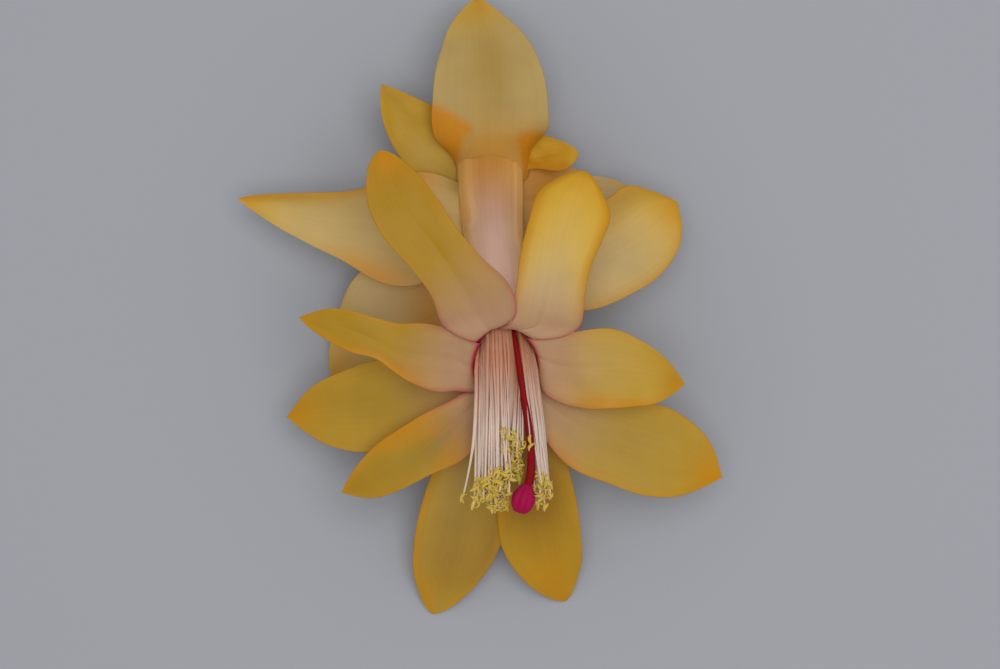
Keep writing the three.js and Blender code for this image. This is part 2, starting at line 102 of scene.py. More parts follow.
# The style: in the tube, its share of the tube's length and its place across and up, as shares
# of the hollow's radius. Beyond the mouth, places on the plan.
STYLE_INSIDE = [
    (0.0, 0.0, 0.0),
    (0.13, 0.02, 0.05),
    (0.3, 0.12, 0.3),
    (0.55, 0.24, 0.56),
    (0.82, 0.3, 0.72),
    (1.0, 0.4, 0.76),
]
STYLE_FREE = [(2.9, -7.7, 19.2), (3.6, -12.5, 19.7), (3.65, -16, 19.6), (3.42, -17.6, 19.4)]
STYLE_STEPS = 120
STIGMA_NECK = Vector((3.34, -17.5, 19.38))
STIGMA_END = Vector((2.3, -21.1, 19.15))
STIGMA_LOBES = 7
LOBE_RADIUS = 0.6
LOBE_FOOT = 0.45  # its girth at its foot, and the share of its length where it is full
LOBE_GROWN = 0.45
LOBE_APART = 0.1  # how far it stands from the middle, and how much further where it bows out
LOBE_BOW = 0.74
STIGMA_CORE = {"radius": 0.8, "length": 0.9}  # its length as a share of the lobes'
STIGMA_VOXEL = 0.08

# Where the filaments end. a and b are a filament's place in the hollow, across and up: its
# tip is at x = middle + spread * a, z = height + rise * b and y = -shortest to -longest.
FANS = {
    "left": {"middle": 0.95, "spread": 4.2, "height": 18.4, "rise": 1.9, "run": (16.4, 20.6)},
    "middle": {"middle": 0.4, "spread": 3.8, "height": 18.6, "rise": 1.7, "run": (12.0, 17.4)},
    "right": {"middle": 2.4, "spread": 4.0, "height": 18.4, "rise": 1.5, "run": (17.0, 20.4)},
}
MIDDLE_FAN_FROM = -0.02
RIGHT_FAN_FROM = 0.5
BUNDLE_RADIUS = 0.93  # the filaments and the slot round the style, as shares of the hollow
SLOT_RADIUS = 0.13
FILAMENT_HELD = (0.09, 0.5, 0.88)  # the shares of the tube where a filament keeps its place
# At the mouth the bundle is wider by these factors, lifted, and cut off at a slant
FILAMENT_MOUTH = {"across": 1.07, "up": 0.95, "lift": 0.1, "out": 1.2, "slant": 1.4}
FILAMENT_STRAY = {"across": 0.3, "run": 0.16, "up": 0.25, "middle": 0.12}
FILAMENT_ARCH = 0.4  # how high a filament arches half way from the mouth to its tip
# How thick a filament is at its foot and its tip, as shares of its radius, and how that varies
FILAMENT_GIRTH = {"foot": 1.5, "tip": 0.75, "fade": (0.6, 0.9), "draw": (0.85, 1.15)}
FILAMENT_STEPS = 15
# A filament that bends away to the left, and the shares of the style that one lies along
STRAY_FILAMENT = [
    (-2.2, 2, 13.6), (-2.8, -3.9, 17.6), (-2.8, -6.6, 18.4), (-3.1, -12.5, 19.2),
    (-4, -17.6, 18.8), (-4.4, -19.2, 18.5),
]
LAID_FILAMENT = (0.6, 0.9)
LAID_STEPS = 8
STRAY_GIRTH = 0.9
LAID_GIRTH = 0.6
# An anther, as shares of its length; how far it slides along its filament, and how it turns
ANTHERS_EACH = 2
ANTHER = {
    "length": 0.46, "width": 0.15, "depth": 0.13, "bend": 0.3, "groove": 0.4, "groove_width": 0.4,
}
ANTHER_DRAWS = {
    "slide": (-0.8, 0.2), "lean": (-1.5, 1.5), "tilt": (-0.7, 0.7), "size": (0.75, 1.15),
}
# The filaments turn pink between these places along Y, and get orange brown painted shade beside
# the style
THROAT = (-11, -3)
SHADE_AT = 2.0
SHADE_REACH = (1.0, 0.2)
# A soft strand that fills the middle of the bundle, where the filaments are grown together
CORE_INSIDE = (0.3, 0.8, 1.0)
CORE_HEIGHT = 0.1
CORE_FREE = [(0.6, -9, 17.6), (0.5, -14.5, 18)]
CORE_RADII = [0.5, 1.6, 2.3, 2.7, 2.5, 1.7, 0.2]
CORE_STEPS = 30

# Tepals. spine, left, right, roll and cup are the shape: the middle line from root to tip, the
# reach of the blade to each side of it, the degrees by which its right edge is raised, and
# half of the arc across it. wave is the height, the number and the phase of the waves along
# its edges. An inner tepal grows from the lip of the tube's mouth: mouth gives the angles
# between which it stands there, tuck how far outside its neighbours it starts, and lip the
# sides between which its lip has a magenta line. tones say how strong each tone is on it, with
# edge for its left and its right edge, and over for the deeper colour where another tepal lies
# below, which is painted shade of the light that passes through both. stains are soft patches:
# a tone, the place along and across, the reach along and across, and the strength.
# The deep tone and the deep stains are painted shade: a darker yellow on the tepals and patches
# that get less light
TEPALS = {
    "inner_tepal_upper_left": {
        "spine": [
            (-1.9, 0, 16.8), (-2.4, 1.8, 18.8), (-3.9, 4.9, 20.2), (-7.3, 9.9, 21.2),
            (-11.2, 15.2, 21.2), (-14.2, 21.7, 19.8),
        ],
        "left": [3.6, 4.5, 3.7, 3.8, 4.2, 3.6, 1.3], "right": [3.2, 5.3, 3.9, 3.4, 3.7, 3, 0.9],
        "roll": [26, 10, 2, -3, -6], "cup": [20, 16, 14, 14, 20], "wave": (0.25, 1.6, 0.1),
        "mouth": (40, 99), "tuck": 0.3, "lip": (0.8, 1),
        "tones": {"deep": 0.95, "root": 0.95, "edge": (0.15, 0.2), "over": 0.3},
        "stains": [
            ("flush", 0.97, 0.1, 0.12, 1, 0.8), ("flush", 0.75, 0.9, 0.3, 0.3, 0.2),
            ("brown", 0.96, 0, 0.1, 1, 0.4),
        ],
    },
    "inner_tepal_upper_right": {
        "spine": [
            (4.2, -0.5, 16.8), (4.8, 1.5, 18.8), (5.7, 4.6, 20.1), (6.8, 9.6, 21.2),
            (8.2, 14.7, 21), (10.1, 19.3, 19.4),
        ],
        "left": [3.7, 3.9, 4, 4.3, 4.3, 4.1, 1.2], "right": [3.6, 4.8, 4.2, 4.2, 4.8, 4.6, 1.2],
        "roll": [-26, -10, -2, 3, 6], "cup": [20, 4, -10, -16, -20], "wave": (0.2, 2, 0.4),
        "mouth": (81, 141), "tuck": 0.2, "lip": (-1, -0.8),
        "tones": {"root": 0.95, "edge": (0.95, 0.95), "over": 0.2},
        "stains": [
            # The pale stains are painted highlights along the middle of the blade
            ("pale", 0.3, 0, 0.26, 0.9, 0.8), ("pale", 0.65, 0.1, 0.25, 0.5, 0.15),
            ("flush", 0.97, 0, 0.12, 1, 0.45), ("flush", 0.8, -1, 0.35, 0.35, 0.5),
            ("flush", 0.85, 1, 0.25, 0.3, 0.5),
        ],
    },
    "inner_tepal_left": {
        "spine": [
            (-2.8, -3, 16), (-7, -2.8, 16.9), (-11.9, -1.9, 17.6), (-17.8, 0.6, 17.4),
            (-24, 2, 16),
        ],
        "left": [2.6, 4.1, 3.4, 2, 2.5, 1.9, 0.2], "right": [3.3, 3.8, 3.9, 2.9, 2.3, 1.9, 0.2],
        "roll": [16, 8, 2, 6, 14], "cup": [16, 12, 12, 12, 16], "wave": (0.2, 2, 0.7),
        "mouth": (-44, 46), "tuck": 0, "lip": (-1, 1),
        "tones": {"deep": 0.9, "root": 0.9, "edge": (0.8, 0.5), "over": 0.35},
        "stains": [
            # The flush and brown stains along the lower edge, side -1, are painted shade of the
            # fold there
            ("flush", 0.45, -1, 0.28, 0.25, 0.9), ("flush", 0.98, 0, 0.06, 0.9, 0.6),
            ("olive", 0.62, 0.2, 0.12, 0.3, 0.12), ("pale", 0.25, 0.2, 0.15, 0.6, 0.3),
            ("brown", 0.25, -1, 0.16, 0.12, 0.5), ("brown", 0.5, -0.95, 0.2, 0.35, 0.5),
        ],
    },
    "inner_tepal_right": {
        "spine": [
            (4.2, -3, 16), (8.3, -3.9, 16.8), (13.1, -4.1, 17.3), (17.9, -4.7, 16.6),
            (22.1, -5.9, 15.2),
        ],
        "left": [3.2, 4.1, 4.6, 4.8, 3.7, 2.1, 0.2], "right": [2.8, 4.2, 4.8, 4.7, 4.2, 3.3, 0.4],
        "roll": [-16, -6, 0, 0, 0], "cup": [16, 10, 10, 14, 20], "wave": (0.2, 2.2, 0.2),
        "mouth": (129, 207), "tuck": 0, "lip": (-1, 0.7),
        "tones": {"pale": 0.15, "deep": 0.5, "root": 0.95, "edge": (0.3, 0.65), "over": 0.3},
        "stains": [
            # The pale stain is a painted highlight along the middle of the blade
            ("pale", 0.38, -0.1, 0.22, 0.6, 0.5), ("flush", 0.6, 1, 0.4, 0.15, 0.7),
            ("deep", 0.92, 0, 0.12, 1, 0.6), ("flush", 0.96, 0.3, 0.09, 0.9, 0.6),
            ("flush", 0.12, -1, 0.12, 0.15, 0.7),
        ],
    },
    "inner_tepal_lower_left": {
        "spine": [
            (-1.4, -6.6, 14.7), (-6, -11, 14.8), (-11.2, -14.8, 13.9), (-15.4, -17.4, 12.6),
            (-19.2, -19.1, 11.2),
        ],
        "left": [1.6, 3.4, 4.1, 3.4, 2.9, 2.2, 0.2], "right": [1.4, 2.2, 3.1, 3.4, 3.4, 2.4, 0.2],
        "roll": [10, 2, 0, 0, 0], "cup": [16, 14, 18, 18, 18], "wave": (0.2, 1.8, 0.5),
        "mouth": (-84, -38), "tuck": 0.15, "lip": (0.6, 1),
        "tones": {"pale": 0.2, "deep": 0.85, "root": 0.75, "edge": (0.3, 0.75), "over": 0.4},
        "stains": [
            ("flush", 0.35, 0.95, 0.25, 0.18, 0.6), ("olive", 0.45, -0.2, 0.25, 0.45, 0.4),
            # The brown stain near the root is painted shade
            ("deep", 0.95, 0, 0.2, 1, 0.7), ("brown", 0.14, -0.4, 0.22, 0.9, 0.62),
            ("olive", 0.28, -0.2, 0.14, 0.6, 0.4),
        ],
    },
    "inner_tepal_lower_right": {
        "spine": [
            (2.9, -6.2, 14.9), (9.4, -10.8, 14), (16.3, -13.7, 12.4), (22.4, -15.6, 10.8),
            (27.1, -17.4, 8.8),
        ],
        "left": [1.7, 3.4, 4.6, 5.5, 5.9, 4.2, 0.3], "right": [1.7, 3.2, 5, 5.1, 5.1, 3.9, 0.3],
        "roll": [-10, -2, 0, 0, 0], "cup": [16, 8, 10, 14, 18], "wave": (0.25, 2, 0.9),
        "mouth": (201, 252), "tuck": 0.15, "lip": (2, 2),
        "tones": {"pale": 0.15, "deep": 0.55, "root": 0.9, "edge": (0.3, 0.5), "over": 0.3},
        "stains": [
            # The pale stain is a painted highlight along the middle of the blade
            ("pale", 0.32, -0.1, 0.25, 0.7, 0.45), ("flush", 0.96, 0.2, 0.11, 0.9, 0.9),
            ("flush", 0.27, 0.95, 0.1, 0.25, 0.8), ("olive", 0.5, 0, 0.5, 1.2, 0.22),
        ],
    },
    "middle_tepal_left": {
        "spine": [
            (-2.2, -5.2, 13.2), (-8.4, -8, 12.2), (-15, -9, 10.4), (-21.4, -9.6, 8.2),
            (-26.2, -10.1, 6.4),
        ],
        "left": [1.7, 3.2, 4.6, 5.3, 4.9, 3.4, 0.2], "right": [1.7, 3.8, 5.4, 5.9, 5.1, 3.5, 0.2],
        "roll": [8, 0, 0, 0, 0], "cup": [16, 8, 10, 12, 16], "wave": (0.25, 2.2, 0.3),
        "tones": {"pale": 0.15, "deep": 0.65, "root": 0.6, "edge": (0.15, 0.2), "over": 0.4},
        "stains": [
            ("flush", 0.96, 0, 0.12, 0.9, 0.65), ("olive", 0.4, 0.2, 0.25, 0.5, 0.3),
            ("deep", 0.85, 0.5, 0.2, 0.5, 0.5),
        ],
    },
    "middle_tepal_bottom_right": {
        "spine": [
            (1.7, -6.2, 13.2), (3.7, -13.6, 12.2), (4.9, -20.6, 9.2), (6.2, -27, 5),
            (8.2, -33.3, 0.2),
        ],
        "left": [1.6, 3.2, 4, 4.4, 4.2, 3.3, 0.7], "right": [1.6, 3.6, 4.7, 5.4, 5.6, 3.9, 1.1],
        "cup": [16, 8, 8, 10, 8], "wave": (0.2, 1.8, 0.6),
        "tones": {"deep": 0.6, "root": 0.2, "edge": (0.3, 0.3), "over": 0.3},
        # The brown stain is painted shadow of the stamens and the stigma over this tepal
        "stains": [("brown", 0.38, 0.1, 0.28, 1, 0.85), ("flush", 0.93, 0.2, 0.2, 1, 0.65)],
    },
    "middle_tepal_bottom_left": {
        "spine": [
            (-0.4, -6.2, 12.5), (-2.8, -13.8, 11), (-5, -21, 8), (-6.7, -27.9, 4.2),
            (-8.4, -34.9, 0.2),
        ],
        "left": [1.6, 3.7, 5.4, 6.1, 5.9, 4.2, 1], "right": [1.6, 2.9, 4.1, 4.5, 4.4, 3.5, 0.9],
        "cup": [16, 8, 8, 10, 8], "wave": (0.2, 1.8, 0),
        "tones": {"pale": 0.3, "deep": 0.6, "root": 0.3, "edge": (0.3, 0.85), "over": 0.5},
        "stains": [
            ("pale", 0.45, 0.1, 0.28, 0.4, 0.4), ("olive", 0.6, -0.2, 0.22, 0.5, 0.25),
            ("brown", 0.6, -0.9, 0.2, 0.3, 0.5), ("brown", 0.8, 0, 0.14, 0.9, 0.3),
            ("pale", 0.95, 0, 0.05, 0.4, 0.3), ("flush", 0.97, 0.6, 0.1, 0.5, 0.6),
            ("brown", 0.6, 0, 0.18, 0.8, 0.2),
        ],
    },
    "tube_tepal_right": {
        "spine": [
            (2.5, 7.2, 9.9), (7.9, 8, 10.2), (13.4, 10.3, 9.8), (18.3, 13.3, 8.8),
            (21.7, 16.2, 7.4),
        ],
        "left": [3.8, 5, 5.6, 5.8, 5.6, 5.3, 0.8], "right": [2.8, 4.8, 5.9, 6, 5.8, 4.3, 0.5],
        "roll": [-10, 0, 0, 0, 0], "cup": [10, 8, 12, 14, 16], "wave": (0.25, 2, 0.2),
        "tones": {"pale": 0.4, "root": 0.4, "edge": (0.75, 0.65), "over": 0.4},
        "stains": [
            # The pale stain is a painted highlight along the middle of the blade
            ("pale", 0.45, 0.3, 0.3, 0.7, 0.6), ("deep", 0.75, -0.8, 0.3, 0.3, 0.6),
            ("flush", 0.96, 0.2, 0.11, 1, 0.55),
        ],
    },
    "tube_tepal_left": {
        "spine": [
            (-4, 14, 7.4), (-9.8, 13.8, 8.2), (-16.5, 13.6, 8.2), (-24.5, 14.8, 7.4),
            (-32.2, 16.7, 6.2),
        ],
        "left": [3.4, 7.2, 7.7, 5, 3.4, 1.9, 0.2], "right": [4.2, 6, 5.4, 3.9, 2.9, 1.8, 0.2],
        "cup": [10, 10, 12, 14, 16], "wave": (0.2, 1.6, 0.8),
        "tones": {"pale": 0.62, "edge": (0.1, 0.8)},
        "stains": [
            ("deep", 0.75, 0.9, 0.35, 0.55, 0.75), ("flush", 0.98, 0, 0.08, 1, 0.6),
            # The olive stain at the root is painted shade in the gap beside the tube, and the flush
            # along the lower edge, side -1, is painted shade of the tepal below, seen through this
            # one
            ("flush", 0.18, 0.95, 0.1, 0.3, 0.6), ("olive", 0.03, 0.9, 0.06, 0.3, 1),
            ("flush", 0.4, -0.95, 0.15, 0.3, 0.7),
        ],
    },
    "tube_tepal_low_left": {
        "spine": [
            (-2.7, 6.2, 8.9), (-8.6, 4.6, 7), (-13.8, 1.6, 4.6), (-18, -2.4, 2.2),
            (-20.6, -7.6, 0.2),
        ],
        "left": [2.8, 4.5, 5.6, 5.7, 5.1, 3.7, 0.3], "right": [2.8, 5, 6.8, 6.8, 4.8, 2.6, 0.2],
        "cup": [10, 8, 10, 12, 8], "wave": (0.2, 1.8, 0.4),
        "tones": {"pale": 0.8, "edge": (0.7, 0.2), "over": 0.3},
        "stains": [
            ("flush", 0.82, 0.4, 0.2, 0.8, 0.4), ("flush", 0.18, 0, 0.18, 1, 0.55),
            ("flush", 0.32, -0.5, 0.14, 0.5, 0.6),
        ],
    },
    "outer_tepal_top": {
        "spine": [
            (-0.9, 21, 8.8), (-1.2, 24.8, 10.4), (-1.1, 30, 10.8), (-1.5, 35.6, 9.4),
            (-2.8, 41.4, 6.8),
        ],
        "left": [5, 6.9, 7.1, 6.8, 5.9, 4.3, 0.5], "right": [5, 7, 7, 6.4, 5, 2.6, 0.3],
        "cup": [-48, 4, 12, 16, 20], "wave": (0.15, 1.5, 0.3),
        "tones": {"pale": 0.75, "deep": 0.25, "over": 0.9},
        "stains": [
            # The olive stain is painted shade of the ovary that lies under this tepal, seen through
            # it
            ("deep", 0.5, 0, 0.4, 0.4, 0.45), ("olive", 0.45, 0, 0.45, 1.6, 0.3),
            ("flush", 0.06, 0.1, 0.16, 1.2, 0.6), ("brown", 1, 0, 0.02, 1, 0.9),
            ("flush", 0.95, 0, 0.1, 1, 0.35),
        ],
    },
    "outer_tepal_left": {
        "spine": [(-4, 19.6, 5.9), (-7.3, 22.6, 7), (-10.9, 26.2, 8.2), (-14.4, 30.4, 9.4)],
        "left": [2.2, 3.6, 4.4, 4.1, 3.4, 2.2, 0.3], "right": [2.2, 4.2, 4.4, 3.8, 2.8, 1.6, 0.2],
        "cup": [16, 12, 14, 18], "wave": (0.15, 1.5, 0.6),
        "tones": {"deep": 0.4, "edge": (0.3, 0.45), "over": 0.7},
        "stains": [
            ("brown", 0.97, 0, 0.12, 1, 0.3), ("pale", 0.35, -0.4, 0.25, 0.5, 0.3),
            # The olive stain at the root is painted shade beside the tube
            ("olive", 0.06, 0, 0.14, 1, 0.6), ("deep", 0.8, 0, 0.3, 1, 0.5),
        ],
    },
    "outer_tepal_right": {
        "spine": [(1.9, 20.6, 5.8), (4.6, 21.6, 7), (7.4, 22.1, 7.8), (9.6, 22.2, 8.2)],
        "left": [2, 3, 3.2, 2.7, 2, 1.2, 0.2], "right": [1.2, 1, 1.3, 1.8, 2.2, 2, 0.8],
        "roll": [10, 12, 12, 10], "cup": [16, 12, 14, 18], "wave": (0.1, 1.5, 0.2),
        "tones": {"deep": 0.3, "edge": (0.3, 0.3), "over": 0.6},
        "stains": [("flush", 0.6, 0, 0.5, 1, 0.5)],
    },
    "tube_tepal_low_right": {
        "spine": [(2.3, 16.4, 5.6), (7.4, 16.4, 4.8), (12.4, 16.2, 2.8), (17.2, 17.2, 0.2)],
        "left": [3.6, 5.2, 4.6, 3.7, 3.4, 2.6, 0.3], "right": [4.2, 5.2, 5.4, 5.2, 3.9, 2.3, 0.2],
        "cup": [10, 10, 12, 8], "wave": (0.15, 1.6, 0.5),
        # The strong pale tone and the flush at the root are painted light: the glow of light
        # through the tepals above, in whose shade this one lies
        "tones": {"pale": 0.9, "edge": (0.2, 0.2), "over": 0.6},
        "stains": [("flush", 0.2, -0.4, 0.28, 1.2, 0.85)],
    },
}
TEPAL_COLUMNS = 22
TEPAL_ROWS = 48
TIP = 0.94  # where a blade starts to be rounded off
TIP_WIDTH = 0.1  # what is left of its width at the very tip
JOIN = 0.13  # where an inner tepal's root runs into its blade
JOIN_ROWS = 9
JOIN_STEP = 0.02  # how far past the join its direction is read
LIP_HEIGHT = 0.25  # how far an inner tepal's lip stands out of the tube
LIP_DEPTH = 0.9  # how far its first row is down in the tube, and how far inwards
LIP_INSET = 0.15
ROOT_SEARCH = (-0.2, 0.55)  # where along a blade it can meet the tube
ROOT_STEPS = 60
ROOT_DEPTH = 0.12  # how far a blade's root goes into the tube's wall
WAVE_SPAN = (0.05, 0.35, 0.85, 1.0)  # waves and dents grow and fade between these shares
WAVE_LAG = 0.4  # by how many turns the left edge's waves are ahead of the right edge's
WAVE_EDGE = 2.5  # how much the waves keep to the edges
MIDRIB = {"width": 0.09, "fade": (0.6, 0.95)}
# Soft dents: how high, how many along and across, and how far apart those of two tepals are
DENTS = {"height": 0.22, "along": 5, "across": 1.6, "apart": 20}
THIN_EDGE = 1.4  # a tepal grows thinner this close to its edge
EDGE_BAND = 1.3  # the width of the edge's tone
ROOT_FADE = (0.05, 0.5)  # where the root's tone fades
OVER_RISE = (0.18, 0.4)  # where the tone of an overlap starts on an inner tepal
PALE_LOSS = 0.8  # how much of the pale tone is lost at the tip, and where
PALE_FADE = (0.65, 1.0)
BLUSH_ROWS = (1.0, 1.0, 0.9, 0.2)  # the strength of the red line on the lip's rows
BLUSH_EDGE = {"strength": 0.6, "width": (0.1, 0.6), "fade": (0.05, 0.45)}
STAINS = ("pale", "deep", "olive", "brown", "flush")
MASKS = (*STAINS, "root", "edge", "over", "blush")  # in the order they are laid
# The overlap tone is painted shade: the deeper orange of light that passes through two tepals
OVERLAP_NEAR = 3.5  # another tepal this close below deepens the colour in full
OVERLAP_REACH = 9.0  # and one this far below not at all
OVERLAP_BLUR = 0.3  # how far apart the nine lines are that look down from each place
OVERLAP_LAYERS = 4  # how many faces of its own a line may go through

# The tissues. A sheet's streaks follow its UV map, and a strand's run along Y: across and
# lengthwise are how often they come, and streaks how strong they are. through is the share of
# the light that goes through, relief the height of the cells in millimetres, and gloss the
# specular level.
Tissue = namedtuple("Tissue", "sheet across lengthwise streaks roughness through relief gloss")
TISSUES = {
    "tepals": Tissue(True, 22, 1.2, 0.14, 0.42, 0.25, 0.06, 0.22),
    "floral_tube": Tissue(True, 90, 2, 0.22, 0.4, 0.08, 0.06, 0.25),
    "ovary": Tissue(True, 60, 3, 0.25, 0.38, 0.1, 0.06, 0.4),
    "style": Tissue(False, 2200, 250, 0.35, 0.6, 0, 0.05, 0.15),
    "stigma": Tissue(False, 2200, 250, 0.25, 0.62, 0, 0.08, 0.2),
    "filaments": Tissue(False, 3000, 300, 0.25, 0.35, 0.45, 0.03, 0.3),
    "anthers": Tissue(False, 2200, 250, 0.4, 0.7, 0.15, 0.12, 0.2),
}
MOTTLE = {"scale": 260, "colour": 0.16, "roughness": 0.12}
CELLS = {"scale": 7000, "relief": -0.35}
RELIEF_STRENGTH = 0.35

# The light, in metres from the flower's middle, and the floor
KEY_PLACE = Vector((0.04, 0.01, 0.42))
KEY_SIZE = 0.34
SKY_COLOUR = (0.97, 0.985, 1, 1)
FLOOR_SIZE = 4
FLOOR_ROUGHNESS = 0.85
SENSOR_WIDTH = 36


def linear(red, green, blue):
    """A colour as it is read off a screen, 0 to 255, as scene-linear values."""
    shares = [channel / 255 for channel in (red, green, blue)]
    return tuple(s / 12.92 if s <= 0.04045 else ((s + 0.055) / 1.055) ** 2.4 for s in shares)


# Curves and frames along them


class Path:
    """A smooth curve through points, read by the share of its length."""

    STEPS = 40

    def __init__(self, points):
        knots = [Vector(point) for point in points]
        knots = [2 * knots[0] - knots[1], *knots, 2 * knots[-1] - knots[-2]]
        self.places = [knots[1]]
        for before, start, end, after in zip(knots, knots[1:], knots[2:], knots[3:]):
            leave = start + (end - before) / 6
            arrive = end - (after - start) / 6
            self.places += interpolate_bezier(start, leave, arrive, end, self.STEPS)[1:]
        self.marks = [0.0]
        for here, there in zip(self.places, self.places[1:]):
            self.marks.append(self.marks[-1] + (there - here).length)
        self.length = self.marks[-1]

    def at(self, share):
        """The place at that share of the length. Past an end the curve runs on straight."""
        run = share * self.length
        low, high = 0, len(self.marks) - 1
        while high - low > 1:
            middle = (low + high) // 2
            if self.marks[middle] <= run:
                low = middle
            else:
                high = middle
        step = (run - self.marks[low]) / (self.marks[high] - self.marks[low])
        return self.places[low].lerp(self.places[high], step)

    def frame(self, share, roll=0.0):
        """The place, and the directions forward, right and up there."""
        step = 0.5 / self.STEPS
        low, high = min(share, 1 - step), max(share, step)
        forward = (self.at(high + step) - self.at(low - step)).normalized()
        right = forward.cross(UP).normalized()
        right.rotate(Matrix.Rotation(-math.radians(roll), 3, forward))
        return self.at(share), forward, right, right.cross(forward)


def along(values, share):
    """A value between the entries of a list that stand at equal steps from 0 to 1."""
    place = min(max(share, 0.0), 1.0) * (len(values) - 1)
    i = min(int(place), len(values) - 2)
    step = place - i
    here, there = values[i], values[i + 1]
    before = values[i - 1] if i > 0 else 2 * here - there
    after = values[i + 2] if i + 2 < len(values) else 2 * there - here
    leave, arrive = (there - before) / 2, (after - here) / 2
    cubic = 2 * (here - there) + leave + arrive
    square = 3 * (there - here) - 2 * leave - arrive
    return ((cubic * step + square) * step + leave) * step + here


def smooth(low, high, value):
    """0 below low, 1 above high, and a smooth rise between them."""
    share = min(max((value - low) / (high - low), 0.0), 1.0)
    return share * share * (3 - 2 * share)


def steps(count):
    """Shares from 0 to 1, in that many equal steps."""
    return [i / count for i in range(count + 1)]


def row(point):
    """A place on the plan, in millimetres, in the row frame."""
    return (Vector(point) + PLAN_ORIGIN) * MM


TUBE_PATH = Path(TUBE_AXIS)
TUBE_STATIONS = [(share, *TUBE_PATH.frame(share)) for share in steps(60)]


def inside_tube(share, across, height, wall):
    """A place in the tube: across towards +X and height up, as shares of the hollow's radius."""
    centre, _, right, up = TUBE_PATH.frame(share)
    radius = along(TUBE_RADII, share) - wall
    return centre - right * across * radius + up * height * radius


def clear_of_tube(point):
    """How far a place on the plan is outside the tube's outer skin; negative inside it."""
    share, centre, forward, _, _ = min(
        TUBE_STATIONS, key=lambda station: (station[1] - point).length_squared
    )
    offset = point - centre
    radial = (offset - forward * offset.dot(forward)).length
    _, mouth, ahead, _, above = TUBE_STATIONS[-1]
    past = point - mouth
    end = (past.dot(ahead) + MOUTH_SLANT * past.dot(above)) / math.hypot(1, MOUTH_SLANT)
    _, foot, out, _, _ = TUBE_STATIONS[0]
    return max(radial - along(TUBE_RADII, share), end, (foot - point).dot(out))


# Mesh helpers


def select_only(*pieces):
    """Makes these pieces the selected objects, and the first one the active object."""
    bpy.ops.object.select_all(action="DESELECT")
    for piece in pieces:
        piece.select_set(True)
    if pieces:
        bpy.context.view_layer.objects.active = pieces[0]


def grid(name, columns, rows):
    """A square grid from -1 to 1 each way, with its UV map, ready to be shaped."""
    select_only()
    bpy.ops.mesh.primitive_grid_add(
        x_subdivisions=columns, y_subdivisions=rows, size=2, calc_uvs=True
    )
    piece = bpy.context.object
    piece.name = piece.data.name = name
    return piece


def set_masks(piece, measures):
    """Stores the masks of each vertex, which a material reads by their names."""
    for name in measures[0]:
        mask = piece.data.attributes.new(name, "FLOAT", "POINT")
        mask.data.foreach_set("value", [masks[name] for masks in measures])


def apply(piece, kind, **settings):
    """Adds a modifier with these settings, and applies it."""
    select_only(piece)
    modifier = piece.modifiers.new(kind, kind)
    for name, value in settings.items():
        setattr(modifier, name, value)
    bpy.ops.object.modifier_apply(modifier=modifier.name)


def round_body(name, columns, rows, skin):
    """A grid closed into a round body. skin gives the place and the masks on it, for the angle
    round the body and the share of its length."""
    piece = grid(name, columns, rows)
    measures = []
    for vertex in piece.data.vertices:
        place, masks = skin(math.pi * vertex.co.x, (vertex.co.y + 1) / 2)
        vertex.co = row(place)
        measures.append(masks)
    set_masks(piece, measures)
    select_only(piece)
    bpy.ops.object.mode_set(mode="EDIT")
    bpy.ops.mesh.select_all(action="SELECT")
    bpy.ops.mesh.remove_doubles(threshold=WELD * MM)
    bpy.ops.mesh.normals_make_consistent(inside=False)
    bpy.ops.object.mode_set(mode="OBJECT")
    return piece


def finish_piece(piece, material, slot, *nodes):
    """Smooths a piece, gives it its material, and ties it to the frame."""
    select_only(piece)
    bpy.ops.object.transform_apply(location=True, rotation=True, scale=True)
    bpy.ops.object.shade_smooth()
    piece.data.materials.clear()
    piece.data.materials.append(material)
    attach(piece, "root")
    if nodes:
        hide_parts(*nodes)


# Material helpers


def add_node(tree, kind, inputs=None, **settings):
    """Adds a node. inputs maps a socket's name or number to a value or to a socket."""
    made = tree.nodes.new(kind)
    for name, value in settings.items():
        setattr(made, name, value)
    for key, value in (inputs or {}).items():
        if isinstance(value, bpy.types.NodeSocket):
            tree.links.new(value, made.inputs[key])
        else:
            made.inputs[key].default_value = value
    return made


def mix(tree, factor, first, second, blend="MIX"):
    """A colour between two colours."""
    inputs = {0: factor, 6: first, 7: second}
    return add_node(tree, "ShaderNodeMix", inputs, data_type="RGBA", blend_type=blend).outputs[2]


def math_node(tree, operation, *values):
    """The result of a sum or the like on values and sockets."""
    inputs = dict(enumerate(values))
    return add_node(tree, "ShaderNodeMath", inputs, operation=operation).outputs[0]


def object_place(tree):
    """Where a place is on its piece."""
    return add_node(tree, "ShaderNodeTexCoord").outputs["Object"]


def noise_at(tree, place, scale, roughness=0.5):
    """Soft noise from 0 to 1."""
    inputs = {"Vector": place, "Scale": scale, "Detail": 3, "Roughness": roughness}
    return add_node(tree, "ShaderNodeTexNoise", inputs).outputs[0]


def layers(tree, colour, tones):
    """Lays tones over a colour in turn, each by the mask of its name."""
    for mask, tone in tones.items():
        share = add_node(tree, "ShaderNodeAttribute", attribute_name=mask).outputs["Fac"]
        colour = mix(tree, share, colour, tone)
    return colour


def new_group(name, inputs, outputs):
    """A shader node group with named sockets. Returns its tree and its two end nodes."""
    tree = bpy.data.node_groups.new(name, "ShaderNodeTree")
    for kind, sockets in (("INPUT", inputs), ("OUTPUT", outputs)):
        for label, socket in sockets.items():
            tree.interface.new_socket(name=label, in_out=kind, socket_type="NodeSocket" + socket)
    return tree, tree.nodes.new("NodeGroupInput"), tree.nodes.new("NodeGroupOutput")


